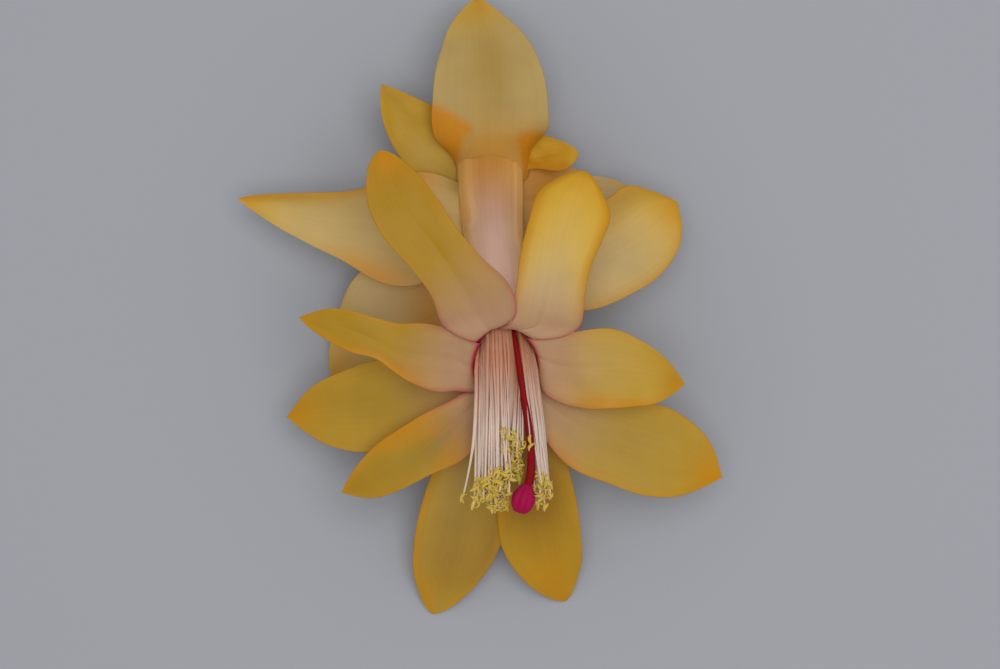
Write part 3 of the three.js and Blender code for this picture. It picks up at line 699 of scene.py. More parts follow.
def tissue_group(name):
    """Petal tissue: lengthwise streaks that follow the surface, soft mottling and fine cells."""
    tree, start, end = new_group(
        name,
        {"Color": "Color", "Surface": "Vector", "Streaks": "Float", "Roughness": "Float"},
        {"Color": "Color", "Roughness": "Float", "Height": "Float"},
    )
    given = start.outputs
    place = object_place(tree)
    streaks = noise_at(tree, given["Surface"], 1, 0.6)
    mottle = noise_at(tree, place, MOTTLE["scale"])
    cells = add_node(
        tree, "ShaderNodeTexVoronoi", {"Vector": place, "Scale": CELLS["scale"]}, feature="F1"
    ).outputs[0]
    swing = math_node(tree, "MULTIPLY", math_node(tree, "SUBTRACT", streaks, 0.5), given["Streaks"])
    share = MOTTLE["colour"]
    blotch = math_node(tree, "MULTIPLY_ADD", mottle, share, 1 - share / 2)
    light = math_node(tree, "ADD", swing, blotch)
    shade = add_node(tree, "ShaderNodeCombineColor", {0: light, 1: light, 2: light}).outputs[0]
    made = {
        "Color": mix(tree, 1, given["Color"], shade, "MULTIPLY"),
        "Roughness": math_node(
            tree, "MULTIPLY_ADD", mottle, MOTTLE["roughness"], given["Roughness"]
        ),
        "Height": math_node(tree, "MULTIPLY_ADD", cells, CELLS["relief"], streaks),
    }
    for label, socket in made.items():
        tree.links.new(socket, end.inputs[label])
    return tree


def tepal_tone_group(name):
    """The tones over a tepal, laid over each other by the masks stored on its mesh."""
    labels = ("Blade", *(mask.capitalize() for mask in MASKS))
    tree, start, end = new_group(name, dict.fromkeys(labels, "Color"), {"Color": "Color"})
    tones = {label.lower(): start.outputs[label] for label in labels}
    tree.links.new(layers(tree, tones.pop("blade"), tones), end.inputs["Color"])
    return tree


def shared(tree, name, build, inputs):
    """A node of the group of that name, which is built the first time it is asked for."""
    group = bpy.data.node_groups.get(name) or build(name)
    return add_node(tree, "ShaderNodeGroup", inputs, node_tree=group).outputs


def new_material(name):
    """A material that has no nodes yet, and its node tree."""
    material = bpy.data.materials.new(name)
    material.use_nodes = True
    material.node_tree.nodes.clear()
    return material, material.node_tree


def lengthwise_place(tree, tissue):
    """Places on a tissue, stretched so that the streaks on it run lengthwise."""
    if tissue.sheet:
        place = add_node(tree, "ShaderNodeUVMap", uv_map="UVMap").outputs[0]
        scale = (tissue.across, tissue.lengthwise, 1)
    else:
        place = object_place(tree)
        scale = (tissue.across, tissue.lengthwise, tissue.across)
    return add_node(tree, "ShaderNodeMapping", {"Vector": place, "Scale": scale}).outputs[0]


def petal_shader(tree, tissue, colour):
    """A surface that reflects, mixed with one that lets light through."""
    streaked = {
        "Color": colour,
        "Surface": lengthwise_place(tree, tissue),
        "Streaks": tissue.streaks,
        "Roughness": tissue.roughness,
    }
    skin = shared(tree, "Petal tissue", tissue_group, streaked)
    relief = {"Height": skin["Height"], "Strength": RELIEF_STRENGTH, "Distance": tissue.relief * MM}
    normal = add_node(tree, "ShaderNodeBump", relief).outputs[0]
    gloss = {
        "Base Color": skin["Color"],
        "Roughness": skin["Roughness"],
        "Normal": normal,
        "Specular IOR Level": tissue.gloss,
    }
    front = add_node(tree, "ShaderNodeBsdfPrincipled", gloss).outputs[0]
    glow = {"Color": skin["Color"], "Normal": normal}
    back = add_node(tree, "ShaderNodeBsdfTranslucent", glow).outputs[0]
    both = add_node(tree, "ShaderNodeMixShader", {0: tissue.through, 1: front, 2: back})
    add_node(tree, "ShaderNodeOutputMaterial", {"Surface": both.outputs[0]})


def plain_material(name, colour):
    """A tissue of one colour all over."""
    material, tree = new_material(name)
    petal_shader(tree, TISSUES[name], colour)
    return material


# Sizes and colours that a user would change


def colour_property(name, description, red, green, blue):
    """A colour, given as it is read off a screen."""
    return FloatVectorProperty(
        name=name,
        description=description,
        subtype="COLOR",
        size=4,
        min=0,
        max=1,
        default=(*linear(red, green, blue), 1),
    )


def length_property(name, description, default, least):
    """A length in millimetres, and the least that it can be."""
    return FloatProperty(
        name=name,
        description=description,
        default=default * MM,
        min=least * MM,
        unit="LENGTH",
    )


def share_property(name, description, default, least=0):
    """A share of a whole, and the least that it can be."""
    return FloatProperty(
        name=name, description=description, default=default, min=least, max=1, subtype="FACTOR"
    )


class TepalSettings(PropertyGroup):
    """Sizes and colours that all tepals share."""

    thickness: length_property("Thickness", "Thickness of a tepal in its middle", 0.34, 0.1)
    edge_share: share_property(
        "Edge", "Thickness at the edge, as a share of the middle's", 0.4, 0.1
    )
    crease: length_property("Midrib", "Depth of the groove along the middle", 0.12, 0)
    through: share_property(
        "Translucency", "Share of the light that goes through", TISSUES["tepals"].through
    )
    blade: colour_property("Blade", "Bright yellow of a blade in full light", 231, 187, 56)
    # Painted shade: a darker yellow for the tepals and patches that get less light
    deep: colour_property("Deep", "Deeper yellow of a thicker blade", 189, 145, 32)
    # Pale is the cream of the thin outer tepals; laid as stains in the middle of a blade it is a
    # painted highlight
    pale: colour_property("Pale", "Cream of a thin blade", 215, 191, 143)
    # Olive is a green-brown tone of the blades; its stains beside the tube and over the ovary are
    # painted shade
    olive: colour_property("Olive", "Green-brown shade of a thin blade", 160, 132, 52)
    # Brown is the brown orange of the tips; its stains under the stamens, along a fold and near a
    # root are painted shade
    brown: colour_property("Brown", "Brown orange of a bruised blade", 156, 102, 30)
    flush: colour_property("Flush", "Orange of tips", 224, 150, 8)
    root: colour_property("Root", "Pink white near the tube", 203, 159, 126)
    edge: colour_property("Edge", "Orange yellow towards the edges", 214, 152, 28)
    # Painted shade: the deeper orange of light that passes through two layered tepals
    over: colour_property("Over", "Orange where another tepal lies close below", 222, 146, 14)
    blush: colour_property("Blush", "Red of the lip and of the edges near it", 184, 26, 62)


class TubeSettings(PropertyGroup):
    """Sizes and colours of the floral tube and the ovary."""

    wall: length_property("Wall", "Thickness of the tube's wall", 0.45, 0.1)
    skin: colour_property("Skin", "Pink white of the tube", 206, 166, 144)
    # Painted light: a paler skin towards the mouth, where the tepals over it shade the tube
    throat: colour_property("Throat", "Paler pink towards the mouth", 255, 216, 196)
    base: colour_property("Base", "Orange beige at the tube's foot", 194, 132, 52)
    # Partly the orange of the sides and partly painted light, lighter where the sides get less
    # light
    flank_orange_and_light: colour_property("Flank", "Light orange of the tube's sides", 255, 200, 116)
    rim: colour_property("Rim", "Magenta line round the mouth", 178, 22, 70)
    ovary: colour_property("Ovary", "Green of the ovary", 140, 150, 74)
    scar: colour_property("Scar", "Brown where the flower came off its stem", 140, 104, 62)


class StamenSettings(PropertyGroup):
    """Sizes and colours of the filaments and anthers."""

    spacing: length_property(
        "Spacing", "Distance between filaments at the foot of the tube", 0.43, 0.3
    )
    radius: length_property("Filament radius", "Radius of a filament", 0.16, 0.05)
    anther: length_property("Anther length", "Length of an anther", 1.5, 0.3)
    seed: IntProperty(name="Seed", description="Seed of the random draws", default=11)
    filament: colour_property("Filament", "White of a filament", 250, 234, 220)
    throat: colour_property("Throat", "Pink of the filaments in the throat", 232, 174, 138)
    # Painted shade: orange brown on the filaments beside the style
    shade: colour_property("Shade", "Orange brown beside the style", 200, 124, 78)
    pollen: colour_property("Pollen", "Yellow of the anthers", 224, 192, 86)


class PistilSettings(PropertyGroup):
    """Sizes and colours of the style and the stigma."""

    radius: length_property("Style radius", "Radius of the style at the stigma", 0.46, 0.1)
    style: colour_property("Style", "Crimson of the style", 130, 2, 10)
    stigma: colour_property("Stigma", "Magenta of the stigma", 164, 0, 66)


class StageSettings(PropertyGroup):
    """The floor, the camera and the light."""

    height: length_property("Camera height", "Height of the camera over the floor", 350, 50)
    view_width: length_property("View width", "Width of floor that the camera sees", 125, 10)
    key: FloatProperty(
        name="Key light", description="Power of the large soft light", default=0.84, unit="POWER"
    )
    sky: FloatProperty(
        name="Fill", description="Strength of the even light from all round", default=0.49
    )
    floor: colour_property("Floor", "Colour of the pale floor", 165, 167, 173)


# Tepals


def half_width(shape, share, side):
    """The reach of a blade to one side, rounded off at its tip."""
    past = max(0.0, (share - TIP) / (1 - TIP))
    reach = shape["left"] if side < 0 else shape["right"]
    return along(reach, share) * math.sqrt(1 + TIP_WIDTH**2 - past * past)


def tepal_point(shape, path, share, side):
    """The middle of a blade at share from its root to its tip, and side from -1 to 1."""
    centre, _, right, up = path.frame(share, along(shape.get("roll", (0, 0)), share))
    half = half_width(shape, share, side)
    arc = math.radians(along(shape["cup"], share))
    if abs(arc) < 1e-3:
        return centre + right * half * side, up
    across = half * math.sin(arc * side) / arc
    rise = half * (1 - math.cos(arc * side)) / arc
    return centre + right * across + up * rise, up


def root_share(shape, path, side):
    """Where along a blade, at that side, it comes out of the tube."""
    low, high = ROOT_SEARCH
    shares = [low + (high - low) * step for step in steps(ROOT_STEPS)]
    depths = [clear_of_tube(tepal_point(shape, path, share, side)[0]) for share in shares]
    inside = [share for share, depth in zip(shares, depths) if depth < -ROOT_DEPTH]
    return max(inside) if inside else shares[depths.index(min(depths))]


def lip_line(shape, path, side, wall):
    """The first rows of an inner tepal: out of the tube, over the mouth's lip, to the blade."""
    first, last = shape["mouth"]
    angle = math.radians(first + (last - first) * (side + 1) / 2)
    centre, forward, right, up = TUBE_PATH.frame(1.0)
    out = right * math.cos(angle) + up * math.sin(angle)
    radius = TUBE_RADII[-1] - wall / 2 + shape["tuck"]
    lean = -MOUTH_SLANT * radius * math.sin(angle) + LIP_HEIGHT - shape["tuck"]
    lip = centre + out * radius + forward * lean
    inside = lip - forward * LIP_DEPTH - out * LIP_INSET
    join, blade_up = tepal_point(shape, path, JOIN, side)
    ahead = (tepal_point(shape, path, JOIN + JOIN_STEP, side)[0] - join).normalized()
    reach = (join - lip).length / 3
    leave = lip + (forward + ahead).normalized() * reach
    curve = interpolate_bezier(lip, leave, join - ahead * reach, join, JOIN_ROWS)
    places = [inside, *curve[:-1]]
    return [(JOIN * i / JOIN_ROWS, place, blade_up) for i, place in enumerate(places)]


def blade_line(shape, path, side, wall):
    """A blade's line at one side, row by row: the share along it, the place, and up there."""
    if "mouth" in shape:
        line, start = lip_line(shape, path, side, wall), JOIN
    else:
        line, start = [], root_share(shape, path, side)
    for step in steps(TEPAL_ROWS - len(line)):
        # the rows stand closer together towards the tip
        share = start + (1 - start) * step * (1.25 - 0.25 * step * step)
        line.append((share, *tepal_point(shape, path, share, side)))
    return line


def tepal_relief(shape, share, side, crease):
    """The fine form over the plain blade, in millimetres: edge waves, midrib and soft dents."""
    height, count, phase = shape["wave"]
    rise, full, fall, gone = WAVE_SPAN
    grown = smooth(rise, full, share) * (1 - smooth(fall, gone, share))
    turn = math.tau * (count * share + phase + (WAVE_LAG if side < 0 else 0.0))
    wave = height * abs(side) ** WAVE_EDGE * math.sin(turn) * grown
    midrib = -crease * math.exp(-((side / MIDRIB["width"]) ** 2))
    midrib *= 1 - smooth(*MIDRIB["fade"], share)
    place = Vector((share * DENTS["along"], side * DENTS["across"], phase * DENTS["apart"]))
    return wave + midrib + DENTS["height"] * noise.noise(place) * grown


def stain(shape, tone, share, side):
    """How strongly the soft patches of one tone colour a place on a blade."""
    clear = 1.0
    for name, place, across, reach, breadth, strength in shape["stains"]:
        if name == tone:
            far = ((share - place) / reach) ** 2 + ((side - across) / breadth) ** 2
            clear *= 1 - strength * math.exp(-far)
    return 1 - clear


def blush(shape, share, side, rim, line):
    """The red line along an inner tepal's lip, and along its edges near its root."""
    first, last = shape["lip"]
    on_lip = line < len(BLUSH_ROWS) and first <= side <= last
    edge = BLUSH_EDGE["strength"] * (1 - smooth(*BLUSH_EDGE["width"], rim))
    edge *= 1 - smooth(*BLUSH_EDGE["fade"], share)
    return max(BLUSH_ROWS[line] if on_lip else 0.0, edge)


def tepal_masks(shape, share, side, rim, line):
    """How strongly each tone colours a place on a tepal, rim millimetres from its edge."""
    tones = shape["tones"]
    inner = "mouth" in shape
    near_root = 1 - smooth(*ROOT_FADE, share)
    outline = tones.get("edge", (0, 0))[0 if side < 0 else 1] * (1 - smooth(0, EDGE_BAND, rim))
    masks = {
        "root": tones.get("root", 0) * near_root,
        "edge": outline * (1 - near_root),
        "over": tones.get("over", 0) * (smooth(*OVER_RISE, share) if inner else 1),
        "blush": blush(shape, share, side, rim, line) if inner else 0,
    }
    for tone in STAINS:
        even = tones.get(tone, 0)
        if tone == "pale":
            even *= 1 - PALE_LOSS * smooth(*PALE_FADE, share)
        masks[tone] = 1 - (1 - stain(shape, tone, share, side)) * (1 - even)
    return masks


def tepal(name, settings, wall):
    """One tepal: a grid laid on its curved blade, given its masks, and thickened."""
    shape = TEPALS[name]
    path = Path(shape["spine"])
    piece = grid(name + "_blade", TEPAL_COLUMNS, TEPAL_ROWS)
    sides = [2 * step - 1 for step in steps(TEPAL_COLUMNS)]
    lines = [blade_line(shape, path, side, wall) for side in sides]
    body = piece.vertex_groups.new(name="body")
    floor = settings.thickness / MM / 2
    measures = []
    for vertex in piece.data.vertices:
        column = round((vertex.co.x + 1) / 2 * TEPAL_COLUMNS)
        line = round((vertex.co.y + 1) / 2 * TEPAL_ROWS)
        side = sides[column]
        share, point, up = lines[column][line]
        point = point + up * tepal_relief(shape, share, side, settings.crease / MM)
        point.z = max(point.z, floor)
        vertex.co = row(point)
        across = (1 - abs(side)) * half_width(shape, share, side)
        rim = min(across, (1 - share) * path.length)
        body.add([vertex.index], smooth(0, THIN_EDGE, rim), "REPLACE")
        measures.append(tepal_masks(shape, share, side, rim, line))
    set_masks(piece, measures)
    apply(
        piece,
        "SOLIDIFY",
        thickness=settings.thickness,
        offset=0,
        vertex_group="body",
        thickness_vertex_group=settings.edge_share,
        use_even_offset=False,
    )
    apply(piece, "SUBSURF", levels=1, render_levels=1)
    return piece


def tepal_material(name, settings):
    """The tones over a tepal, on tissue that lets some light through."""
    material, tree = new_material(name)
    tones = {tone.capitalize(): getattr(settings, tone) for tone in ("blade", *MASKS)}
    colour = shared(tree, "Tepal tones", tepal_tone_group, tones)["Color"]
    petal_shader(tree, TISSUES["tepals"]._replace(through=settings.through), colour)
    return material


def make_tepals(context, group):
    """Makes every tepal whose name starts with group."""
    settings = context.scene.tepal_settings
    wall = context.scene.tube_settings.wall / MM
    slot = group + "_tepals"
    material = tepal_material(slot, settings)
    for name in TEPALS:
        if name.startswith(group):
            finish_piece(tepal(name, settings, wall), material, slot, name)


class FLOWER_OT_inner_tepals(Operator):
    """Make the six tepals round the mouth"""

    bl_idname = "flower.inner_tepals"
    bl_label = "Inner tepals"

    def execute(self, context):
        make_tepals(context, "inner")
        return {"FINISHED"}


class FLOWER_OT_middle_tepals(Operator):
    """Make the three tepals just behind the mouth"""

    bl_idname = "flower.middle_tepals"
    bl_label = "Middle tepals"

    def execute(self, context):
        make_tepals(context, "middle")
        return {"FINISHED"}


class FLOWER_OT_tube_tepals(Operator):
    """Make the four tepals half way along the tube"""

    bl_idname = "flower.tube_tepals"
    bl_label = "Tube tepals"

    def execute(self, context):
        make_tepals(context, "tube")
        return {"FINISHED"}


class FLOWER_OT_outer_tepals(Operator):
    """Make the three tepals at the foot of the tube"""

    bl_idname = "flower.outer_tepals"
    bl_label = "Outer tepals"

    def execute(self, context):
        make_tepals(context, "outer")
        return {"FINISHED"}


def nearness(place, blade, tree, owners):
    """1 where another tepal lies straight below within OVERLAP_NEAR, falling to 0."""
    start = place
    for _ in range(OVERLAP_LAYERS):
        found, _, face, _ = tree.ray_cast(start, -UP, OVERLAP_REACH * MM)
        if found is None:
            return 0.0
        if owners[face] != blade:
            return 1 - smooth(OVERLAP_NEAR, OVERLAP_REACH, (place.z - found.z) / MM)
        start = found - UP * WELD * MM
    return 0.0


class FLOWER_OT_overlaps(Operator):
    """Deepen the colour of each tepal where another lies close below it, as painted shade of the
    light that passes through both
    """

    bl_idname = "flower.overlaps"
    bl_label = "Overlaps"

    def execute(self, context):
        blades = [bpy.data.objects[name + "_blade"] for name in TEPALS]
        corners, faces, owners = [], [], []
        for blade in blades:
            first = len(corners)
            corners += [vertex.co for vertex in blade.data.vertices]
            faces += [[first + i for i in face.vertices] for face in blade.data.polygons]
            owners += [blade] * len(blade.data.polygons)
        tree = BVHTree.FromPolygons(corners, faces)
        blur = OVERLAP_BLUR * MM
        starts = [Vector((x * blur, y * blur, 0)) for x in (-1, 0, 1) for y in (-1, 0, 1)]
        for blade in blades:
            over = blade.data.attributes["over"].data
            for vertex, mask in zip(blade.data.vertices, over):
                if mask.value > 0:
                    near = [nearness(vertex.co + start, blade, tree, owners) for start in starts]
                    mask.value *= sum(near) / len(near)
        return {"FINISHED"}


# Tube and ovary


def tube_skin(angle, share):
    """The place on the tube's outer skin, and the strengths of its tones there."""
    share *= TUBE_END
    centre, forward, right, up = TUBE_PATH.frame(share)
    radius = along(TUBE_RADII, share) - TUBE_INSET
    tint = 0.0
    for margin in TUBE_MARGINS:
        far = abs((math.degrees(angle) - margin["angle"] + 180) % 360 - 180)
        past = max(0.0, share - margin["end"] + MARGIN_TIP) / MARGIN_TIP
        inside = 1 - math.hypot(far / margin["half"], past)
        tint = max(tint, smooth(0, MARGIN_EDGE["tone"], inside))
        radius += margin["height"] * smooth(0, MARGIN_EDGE["height"], inside)
    turn = TUBE_RIBS["count"] * angle + TUBE_RIBS["twist"] * share
    radius += TUBE_RIBS["height"] * math.sin(turn) * (1 - share)
    across, rise = radius * math.cos(angle), radius * math.sin(angle)
    lean = -MOUTH_SLANT * share**4 * rise
    bands = {name: smooth(*band, share) for name, band in TUBE_BANDS.items()}
    masks = {
        # painted light towards the mouth, where the tepals shade the tube
        "pale": bands["pale"],
        "base": max(1 - bands["foot"], MARGIN_TONE * tint),
        # partly painted light: the sides, which get less light, are made a lighter orange
        "side": FLANK_TONE * abs(math.cos(angle)) ** FLANK_EDGE * (1 - bands["flank_orange_and_light"]),
        "rim": bands["rim"],
    }
    return centre + forward * lean + right * across + up * rise, masks


def tube_material(settings):
    """Pink white with an orange foot and flanks, and a magenta line round the mouth. The flanks are
    partly painted light, and the paler skin near the mouth is painted light where the tepals shade
    it.
    """
    material, tree = new_material("floral_tube")
    tones = {
        "pale": settings.throat,
        "base": settings.base,
        "side": settings.flank_orange_and_light,
        "rim": settings.rim,
    }
    petal_shader(tree, TISSUES["floral_tube"], layers(tree, settings.skin, tones))
    return material


class FLOWER_OT_tube(Operator):
    """Make the floral tube, with its slanted rim and the tepal margins that run down it"""

    bl_idname = "flower.tube"
    bl_label = "Floral tube"

    def execute(self, context):
        settings = context.scene.tube_settings
        piece = round_body("floral_tube_skin", TUBE_COLUMNS, TUBE_ROWS, tube_skin)
        apply(piece, "SOLIDIFY", thickness=settings.wall, offset=-1)
        apply(piece, "SUBSURF", levels=1, render_levels=1)
        finish_piece(piece, tube_material(settings), "floral_tube", "floral_tube")
        return {"FINISHED"}


OVARY_PATH = Path(OVARY_AXIS)


def ovary_skin(angle, share):
    """The place on the ovary, and the strengths of its tones there."""
    centre, _, right, up = OVARY_PATH.frame(OVARY_START + (1 - OVARY_START) * share)
    dome = smooth(0, OVARY_DOME, share) ** 0.5
    ribs = OVARY_RIBS["height"] * math.cos(OVARY_RIBS["count"] * angle)
    ribs *= math.sin(math.pi * share)
    radius = along(OVARY_RADII, share) * dome * (1 + ribs)
    place = centre + right * radius * math.cos(angle) + up * radius * math.sin(angle)
    place.z = max(place.z, 0.0)
    bands = OVARY_BANDS
    return place, {"scar": 1 - smooth(*bands["scar"], share), "base": smooth(*bands["foot"], share)}


def ovary_material(settings):
    """Green, with a brown scar and the tube's orange where the two meet."""
    material, tree = new_material("ovary")
    tones = {"scar": settings.scar, "base": settings.base}
    petal_shader(tree, TISSUES["ovary"], layers(tree, settings.ovary, tones))
    return material


class FLOWER_OT_ovary(Operator):
    """Make the green ovary, with the scar where the flower came off its stem"""

    bl_idname = "flower.ovary"
    bl_label = "Ovary"

    def execute(self, context):
        piece = round_body("ovary_body", OVARY_COLUMNS, OVARY_ROWS, ovary_skin)
        finish_piece(piece, ovary_material(context.scene.tube_settings), "ovary", "ovary")
        return {"FINISHED"}


# Style and stigma


def strand(name, routes, roundness):
    """Round strands along routes, as one mesh. A route is a list of (place, radius)."""
    data = bpy.data.curves.new(name, "CURVE")
    data.dimensions = "3D"
    data.bevel_depth = 1.0
    data.bevel_resolution = roundness
    data.use_fill_caps = True
    for route in routes:
        spline = data.splines.new("POLY")
        spline.points.add(len(route) - 1)
        for point, (place, radius) in zip(spline.points, route):
            point.co = (*row(place), 1)
            point.radius = radius * MM
    piece = bpy.data.objects.new(name, data)
    bpy.context.scene.collection.objects.link(piece)
    select_only(piece)
    bpy.ops.object.convert(target="MESH")
    return bpy.context.object


def style_path(wall):
    """The style's middle line, from the foot of the tube to the stigma."""
    inside = [inside_tube(share, a, b, wall) for share, a, b in STYLE_INSIDE]
    return Path([*inside, *STYLE_FREE])


class FLOWER_OT_style(Operator):
    """Make the crimson style that runs from the ovary through the tube"""

    bl_idname = "flower.style"
    bl_label = "Style"

    def execute(self, context):
        settings = context.scene.pistil_settings
        path = style_path(context.scene.tube_settings.wall / MM)
        route = []
        for share in steps(STYLE_STEPS):
            # slim in the tube, full beyond it, and a little wider under the stigma
            girth = 0.5 + 0.5 * smooth(0.5, 0.8, share) + 0.2 * smooth(0.93, 1, share)
            route.append((path.at(share), settings.radius / MM * girth))
        piece = strand("style_rod", [route], 4)
        finish_piece(piece, plain_material("style", settings.style), "style", "style")
        return {"FINISHED"}


def stigma_lobe(length, radius):
    """One finger of the stigma: a stretched ball that is slimmer at its foot."""
    select_only()
    bpy.ops.mesh.primitive_uv_sphere_add(segments=20, ring_count=24, radius=1)
    lobe = bpy.context.object
    for vertex in lobe.data.vertices:
        share = (vertex.co.z + 1) / 2
        girth = radius * (LOBE_FOOT + (1 - LOBE_FOOT) * smooth(0, LOBE_GROWN, share))
        vertex.co = Vector((vertex.co.x * girth, vertex.co.y * girth, share * length))
    return lobe


class FLOWER_OT_stigma(Operator):
    """Make the stigma, a club of lobes that stand close together"""

    bl_idname = "flower.stigma"
    bl_label = "Stigma"

    def execute(self, context):
        axis = STIGMA_END - STIGMA_NECK
        length = axis.length * MM
        facing = axis.to_track_quat("Z", "X").to_matrix().to_4x4()
        facing = Matrix.Translation(row(STIGMA_NECK)) @ facing
        lobes = []
        for i in range(STIGMA_LOBES):
            lobe = stigma_lobe(length, LOBE_RADIUS * MM)
            for vertex in lobe.data.vertices:
                # a lobe stands out most a little past its middle
                bow = math.sin(math.pi * (0.08 + 0.72 * vertex.co.z / length))
                vertex.co.x += (LOBE_APART + LOBE_BOW * bow) * MM
            turn = Matrix.Rotation(math.tau * i / STIGMA_LOBES, 4, "Z")
            lobe.data.transform(facing @ turn)
            lobes.append(lobe)
        core = stigma_lobe(length * STIGMA_CORE["length"], STIGMA_CORE["radius"] * MM)
        core.data.transform(facing)
        select_only(*lobes, core)
        bpy.ops.object.join()
        piece = bpy.context.object
        piece.name = piece.data.name = "stigma_club"
        voxel = STIGMA_VOXEL * MM
        apply(piece, "REMESH", mode="VOXEL", voxel_size=voxel, use_smooth_shade=True)
        apply(piece, "SMOOTH", factor=0.5, iterations=3)
        colour = context.scene.pistil_settings.stigma
        finish_piece(piece, plain_material("stigma", colour), "stigma", "stigma")
        return {"FINISHED"}


# Stamens


def filament_places(settings, wall):
    """Places across the hollow in a triangular grid, with a slot left free for the style."""
    hollow = TUBE_RADII[-1] - wall
    step = settings.spacing / MM / hollow
    route = Path([(a, b, 0) for _, a, b in STYLE_INSIDE])
    slot = [route.at(share) for share in steps(20)]
    count = int(1 / step) + 1
    places = []
    for line in range(-count, count + 1):
        for column in range(-count, count + 1):
            a = (column + (0.5 if line % 2 else 0.0)) * step
            b = line * step * math.sqrt(0.75)
            in_slot = any(math.hypot(p.x - a, p.y - b) < SLOT_RADIUS for p in slot)
            if math.hypot(a, b) < BUNDLE_RADIUS and not in_slot:
                places.append((a, b))
    return places


def filament_path(a, b, wall, draw):
    """A filament from the foot of the tube to its anther."""
    inside = [inside_tube(share, a, b, wall) for share in FILAMENT_HELD]
    spread, stray = FILAMENT_MOUTH, FILAMENT_STRAY
    mouth = inside_tube(1, spread["across"] * a, spread["lift"] + spread["up"] * b, wall)
    mouth += TUBE_STATIONS[-1][2] * (spread["out"] - spread["slant"] * b)
    fan = FANS["right" if a > RIGHT_FAN_FROM else "middle" if a > MIDDLE_FAN_FROM else "left"]
    tip = Vector(
        (
            fan["middle"] + fan["spread"] * a + draw.gauss(0, stray["across"]),
            -along(fan["run"], 0.5 - 0.5 * b + draw.gauss(0, stray["run"])),
            fan["height"] + fan["rise"] * b + draw.gauss(0, stray["up"]),
        )
    )
    middle = mouth.lerp(tip, 0.5)
    bend = stray["middle"]
    middle += Vector((draw.gauss(0, bend), 0, FILAMENT_ARCH + draw.gauss(0, bend)))
    return Path([*inside, mouth, middle, tip])


def laid_path(pistil, wall):
    """A filament that lies along the style and comes up over it."""
    style = style_path(wall)
    first, last = LAID_FILAMENT
    places = []
    for share in steps(LAID_STEPS):
        # from beside the style to over it
        beside = Vector((0.5 - 0.56 * share, 0, -0.2 + (pistil.radius / MM + 0.3) * share))
        places.append(style.at(first + (last - first) * share) + beside)
    return Path(places)


def filament_routes(settings, pistil, wall, draw):
    """Every filament as a list of places and radii, from the foot of the tube to its anther."""
    paths = [(filament_path(a, b, wall, draw), 1.0) for a, b in filament_places(settings, wall)]
    paths += [(Path(STRAY_FILAMENT), STRAY_GIRTH), (laid_path(pistil, wall), LAID_GIRTH)]
    girth = FILAMENT_GIRTH
    girths = {
        stop: girth["foot"] + (girth["tip"] - girth["foot"]) * smooth(*girth["fade"], stop)
        for stop in steps(FILAMENT_STEPS)
    }
    routes = []
    for path, share in paths:
        thick = settings.radius / MM * share * draw.uniform(*girth["draw"])
        routes.append([(path.at(stop), thick * girths[stop]) for stop in girths])
    return routes


def core_route(wall):
    """The fused feet of the filaments: a thick soft strand that fills the bundle's middle."""
    inside = [inside_tube(share, 0, CORE_HEIGHT, wall) for share in CORE_INSIDE]
    path = Path([*inside, *CORE_FREE])
    return [(path.at(stop), along(CORE_RADII, stop)) for stop in steps(CORE_STEPS)]


def anther(length):
    """One anther, along Z with its middle at the origin: a slim bent pod with a groove."""
    select_only()
    bpy.ops.mesh.primitive_uv_sphere_add(segments=8, ring_count=7, radius=1)
    piece = bpy.context.object
    for vertex in piece.data.vertices:
        x, y, z = vertex.co
        y *= 1 - ANTHER["groove"] * math.exp(-((x / ANTHER["groove_width"]) ** 2))
        y = y * ANTHER["depth"] + ANTHER["bend"] * (z * z - 0.4)
        vertex.co = Vector((x * ANTHER["width"], y, z * ANTHER["length"])) * length
    return piece


def anther_cluster(routes, length, draw):
    """Bent pods at the end of each filament, turned at random, as one piece."""
    ends = [(route[-1][0], route[-2][0]) for route in routes for _ in range(ANTHERS_EACH)]
    first = anther(length)
    anthers = [first]
    for _ in ends[1:]:
        select_only(first)
        bpy.ops.object.duplicate()
        anthers.append(bpy.context.object)
    for piece, (end, before) in zip(anthers, ends):
        forward = (end - before).normalized()
        place = end + forward * draw.uniform(*ANTHER_DRAWS["slide"])
        lean = Matrix.Rotation(draw.uniform(*ANTHER_DRAWS["lean"]), 4, "Z")
        tilt = Matrix.Rotation(draw.uniform(*ANTHER_DRAWS["tilt"]), 4, "X")
        spin = Matrix.Rotation(draw.uniform(0, math.tau), 4, "Z")
        facing = forward.to_track_quat("Z", "Y").to_matrix().to_4x4()
        size = Matrix.Scale(draw.uniform(*ANTHER_DRAWS["size"]), 4)
        turn = lean @ tilt @ facing @ spin @ size
        piece.data.transform(Matrix.Translation(row(place)) @ turn)
    select_only(*anthers)
    bpy.ops.object.join()
    first.name = first.data.name = "anther_cluster"
    return first


def between(tree, value, low, high):
    """A share that is 0 where value is low or beyond it, and 1 where it is high."""
    inputs = {"Value": value, "From Min": low, "From Max": high}
    return add_node(tree, "ShaderNodeMapRange", inputs).outputs[0]


def filament_material(settings):
    """Cream filaments that turn pink down in the throat, with orange brown painted shade beside the
    style.
    """
    material, tree = new_material("filaments")
    axes = add_node(tree, "ShaderNodeSeparateXYZ", {0: object_place(tree)}).outputs
    deep = between(tree, axes["Y"], *(row((0, y, 0)).y for y in THROAT))
    colour = mix(tree, deep, settings.filament, settings.throat)
    # painted shade beside the style
    away = math_node(tree, "SUBTRACT", axes["X"], row((SHADE_AT, 0, 0)).x)
    away = math_node(tree, "ABSOLUTE", away)
    beside = between(tree, away, *(reach * MM for reach in SHADE_REACH))
    shade = math_node(tree, "MULTIPLY", beside, deep)
    petal_shader(tree, TISSUES["filaments"], mix(tree, shade, colour, settings.shade))
    return material


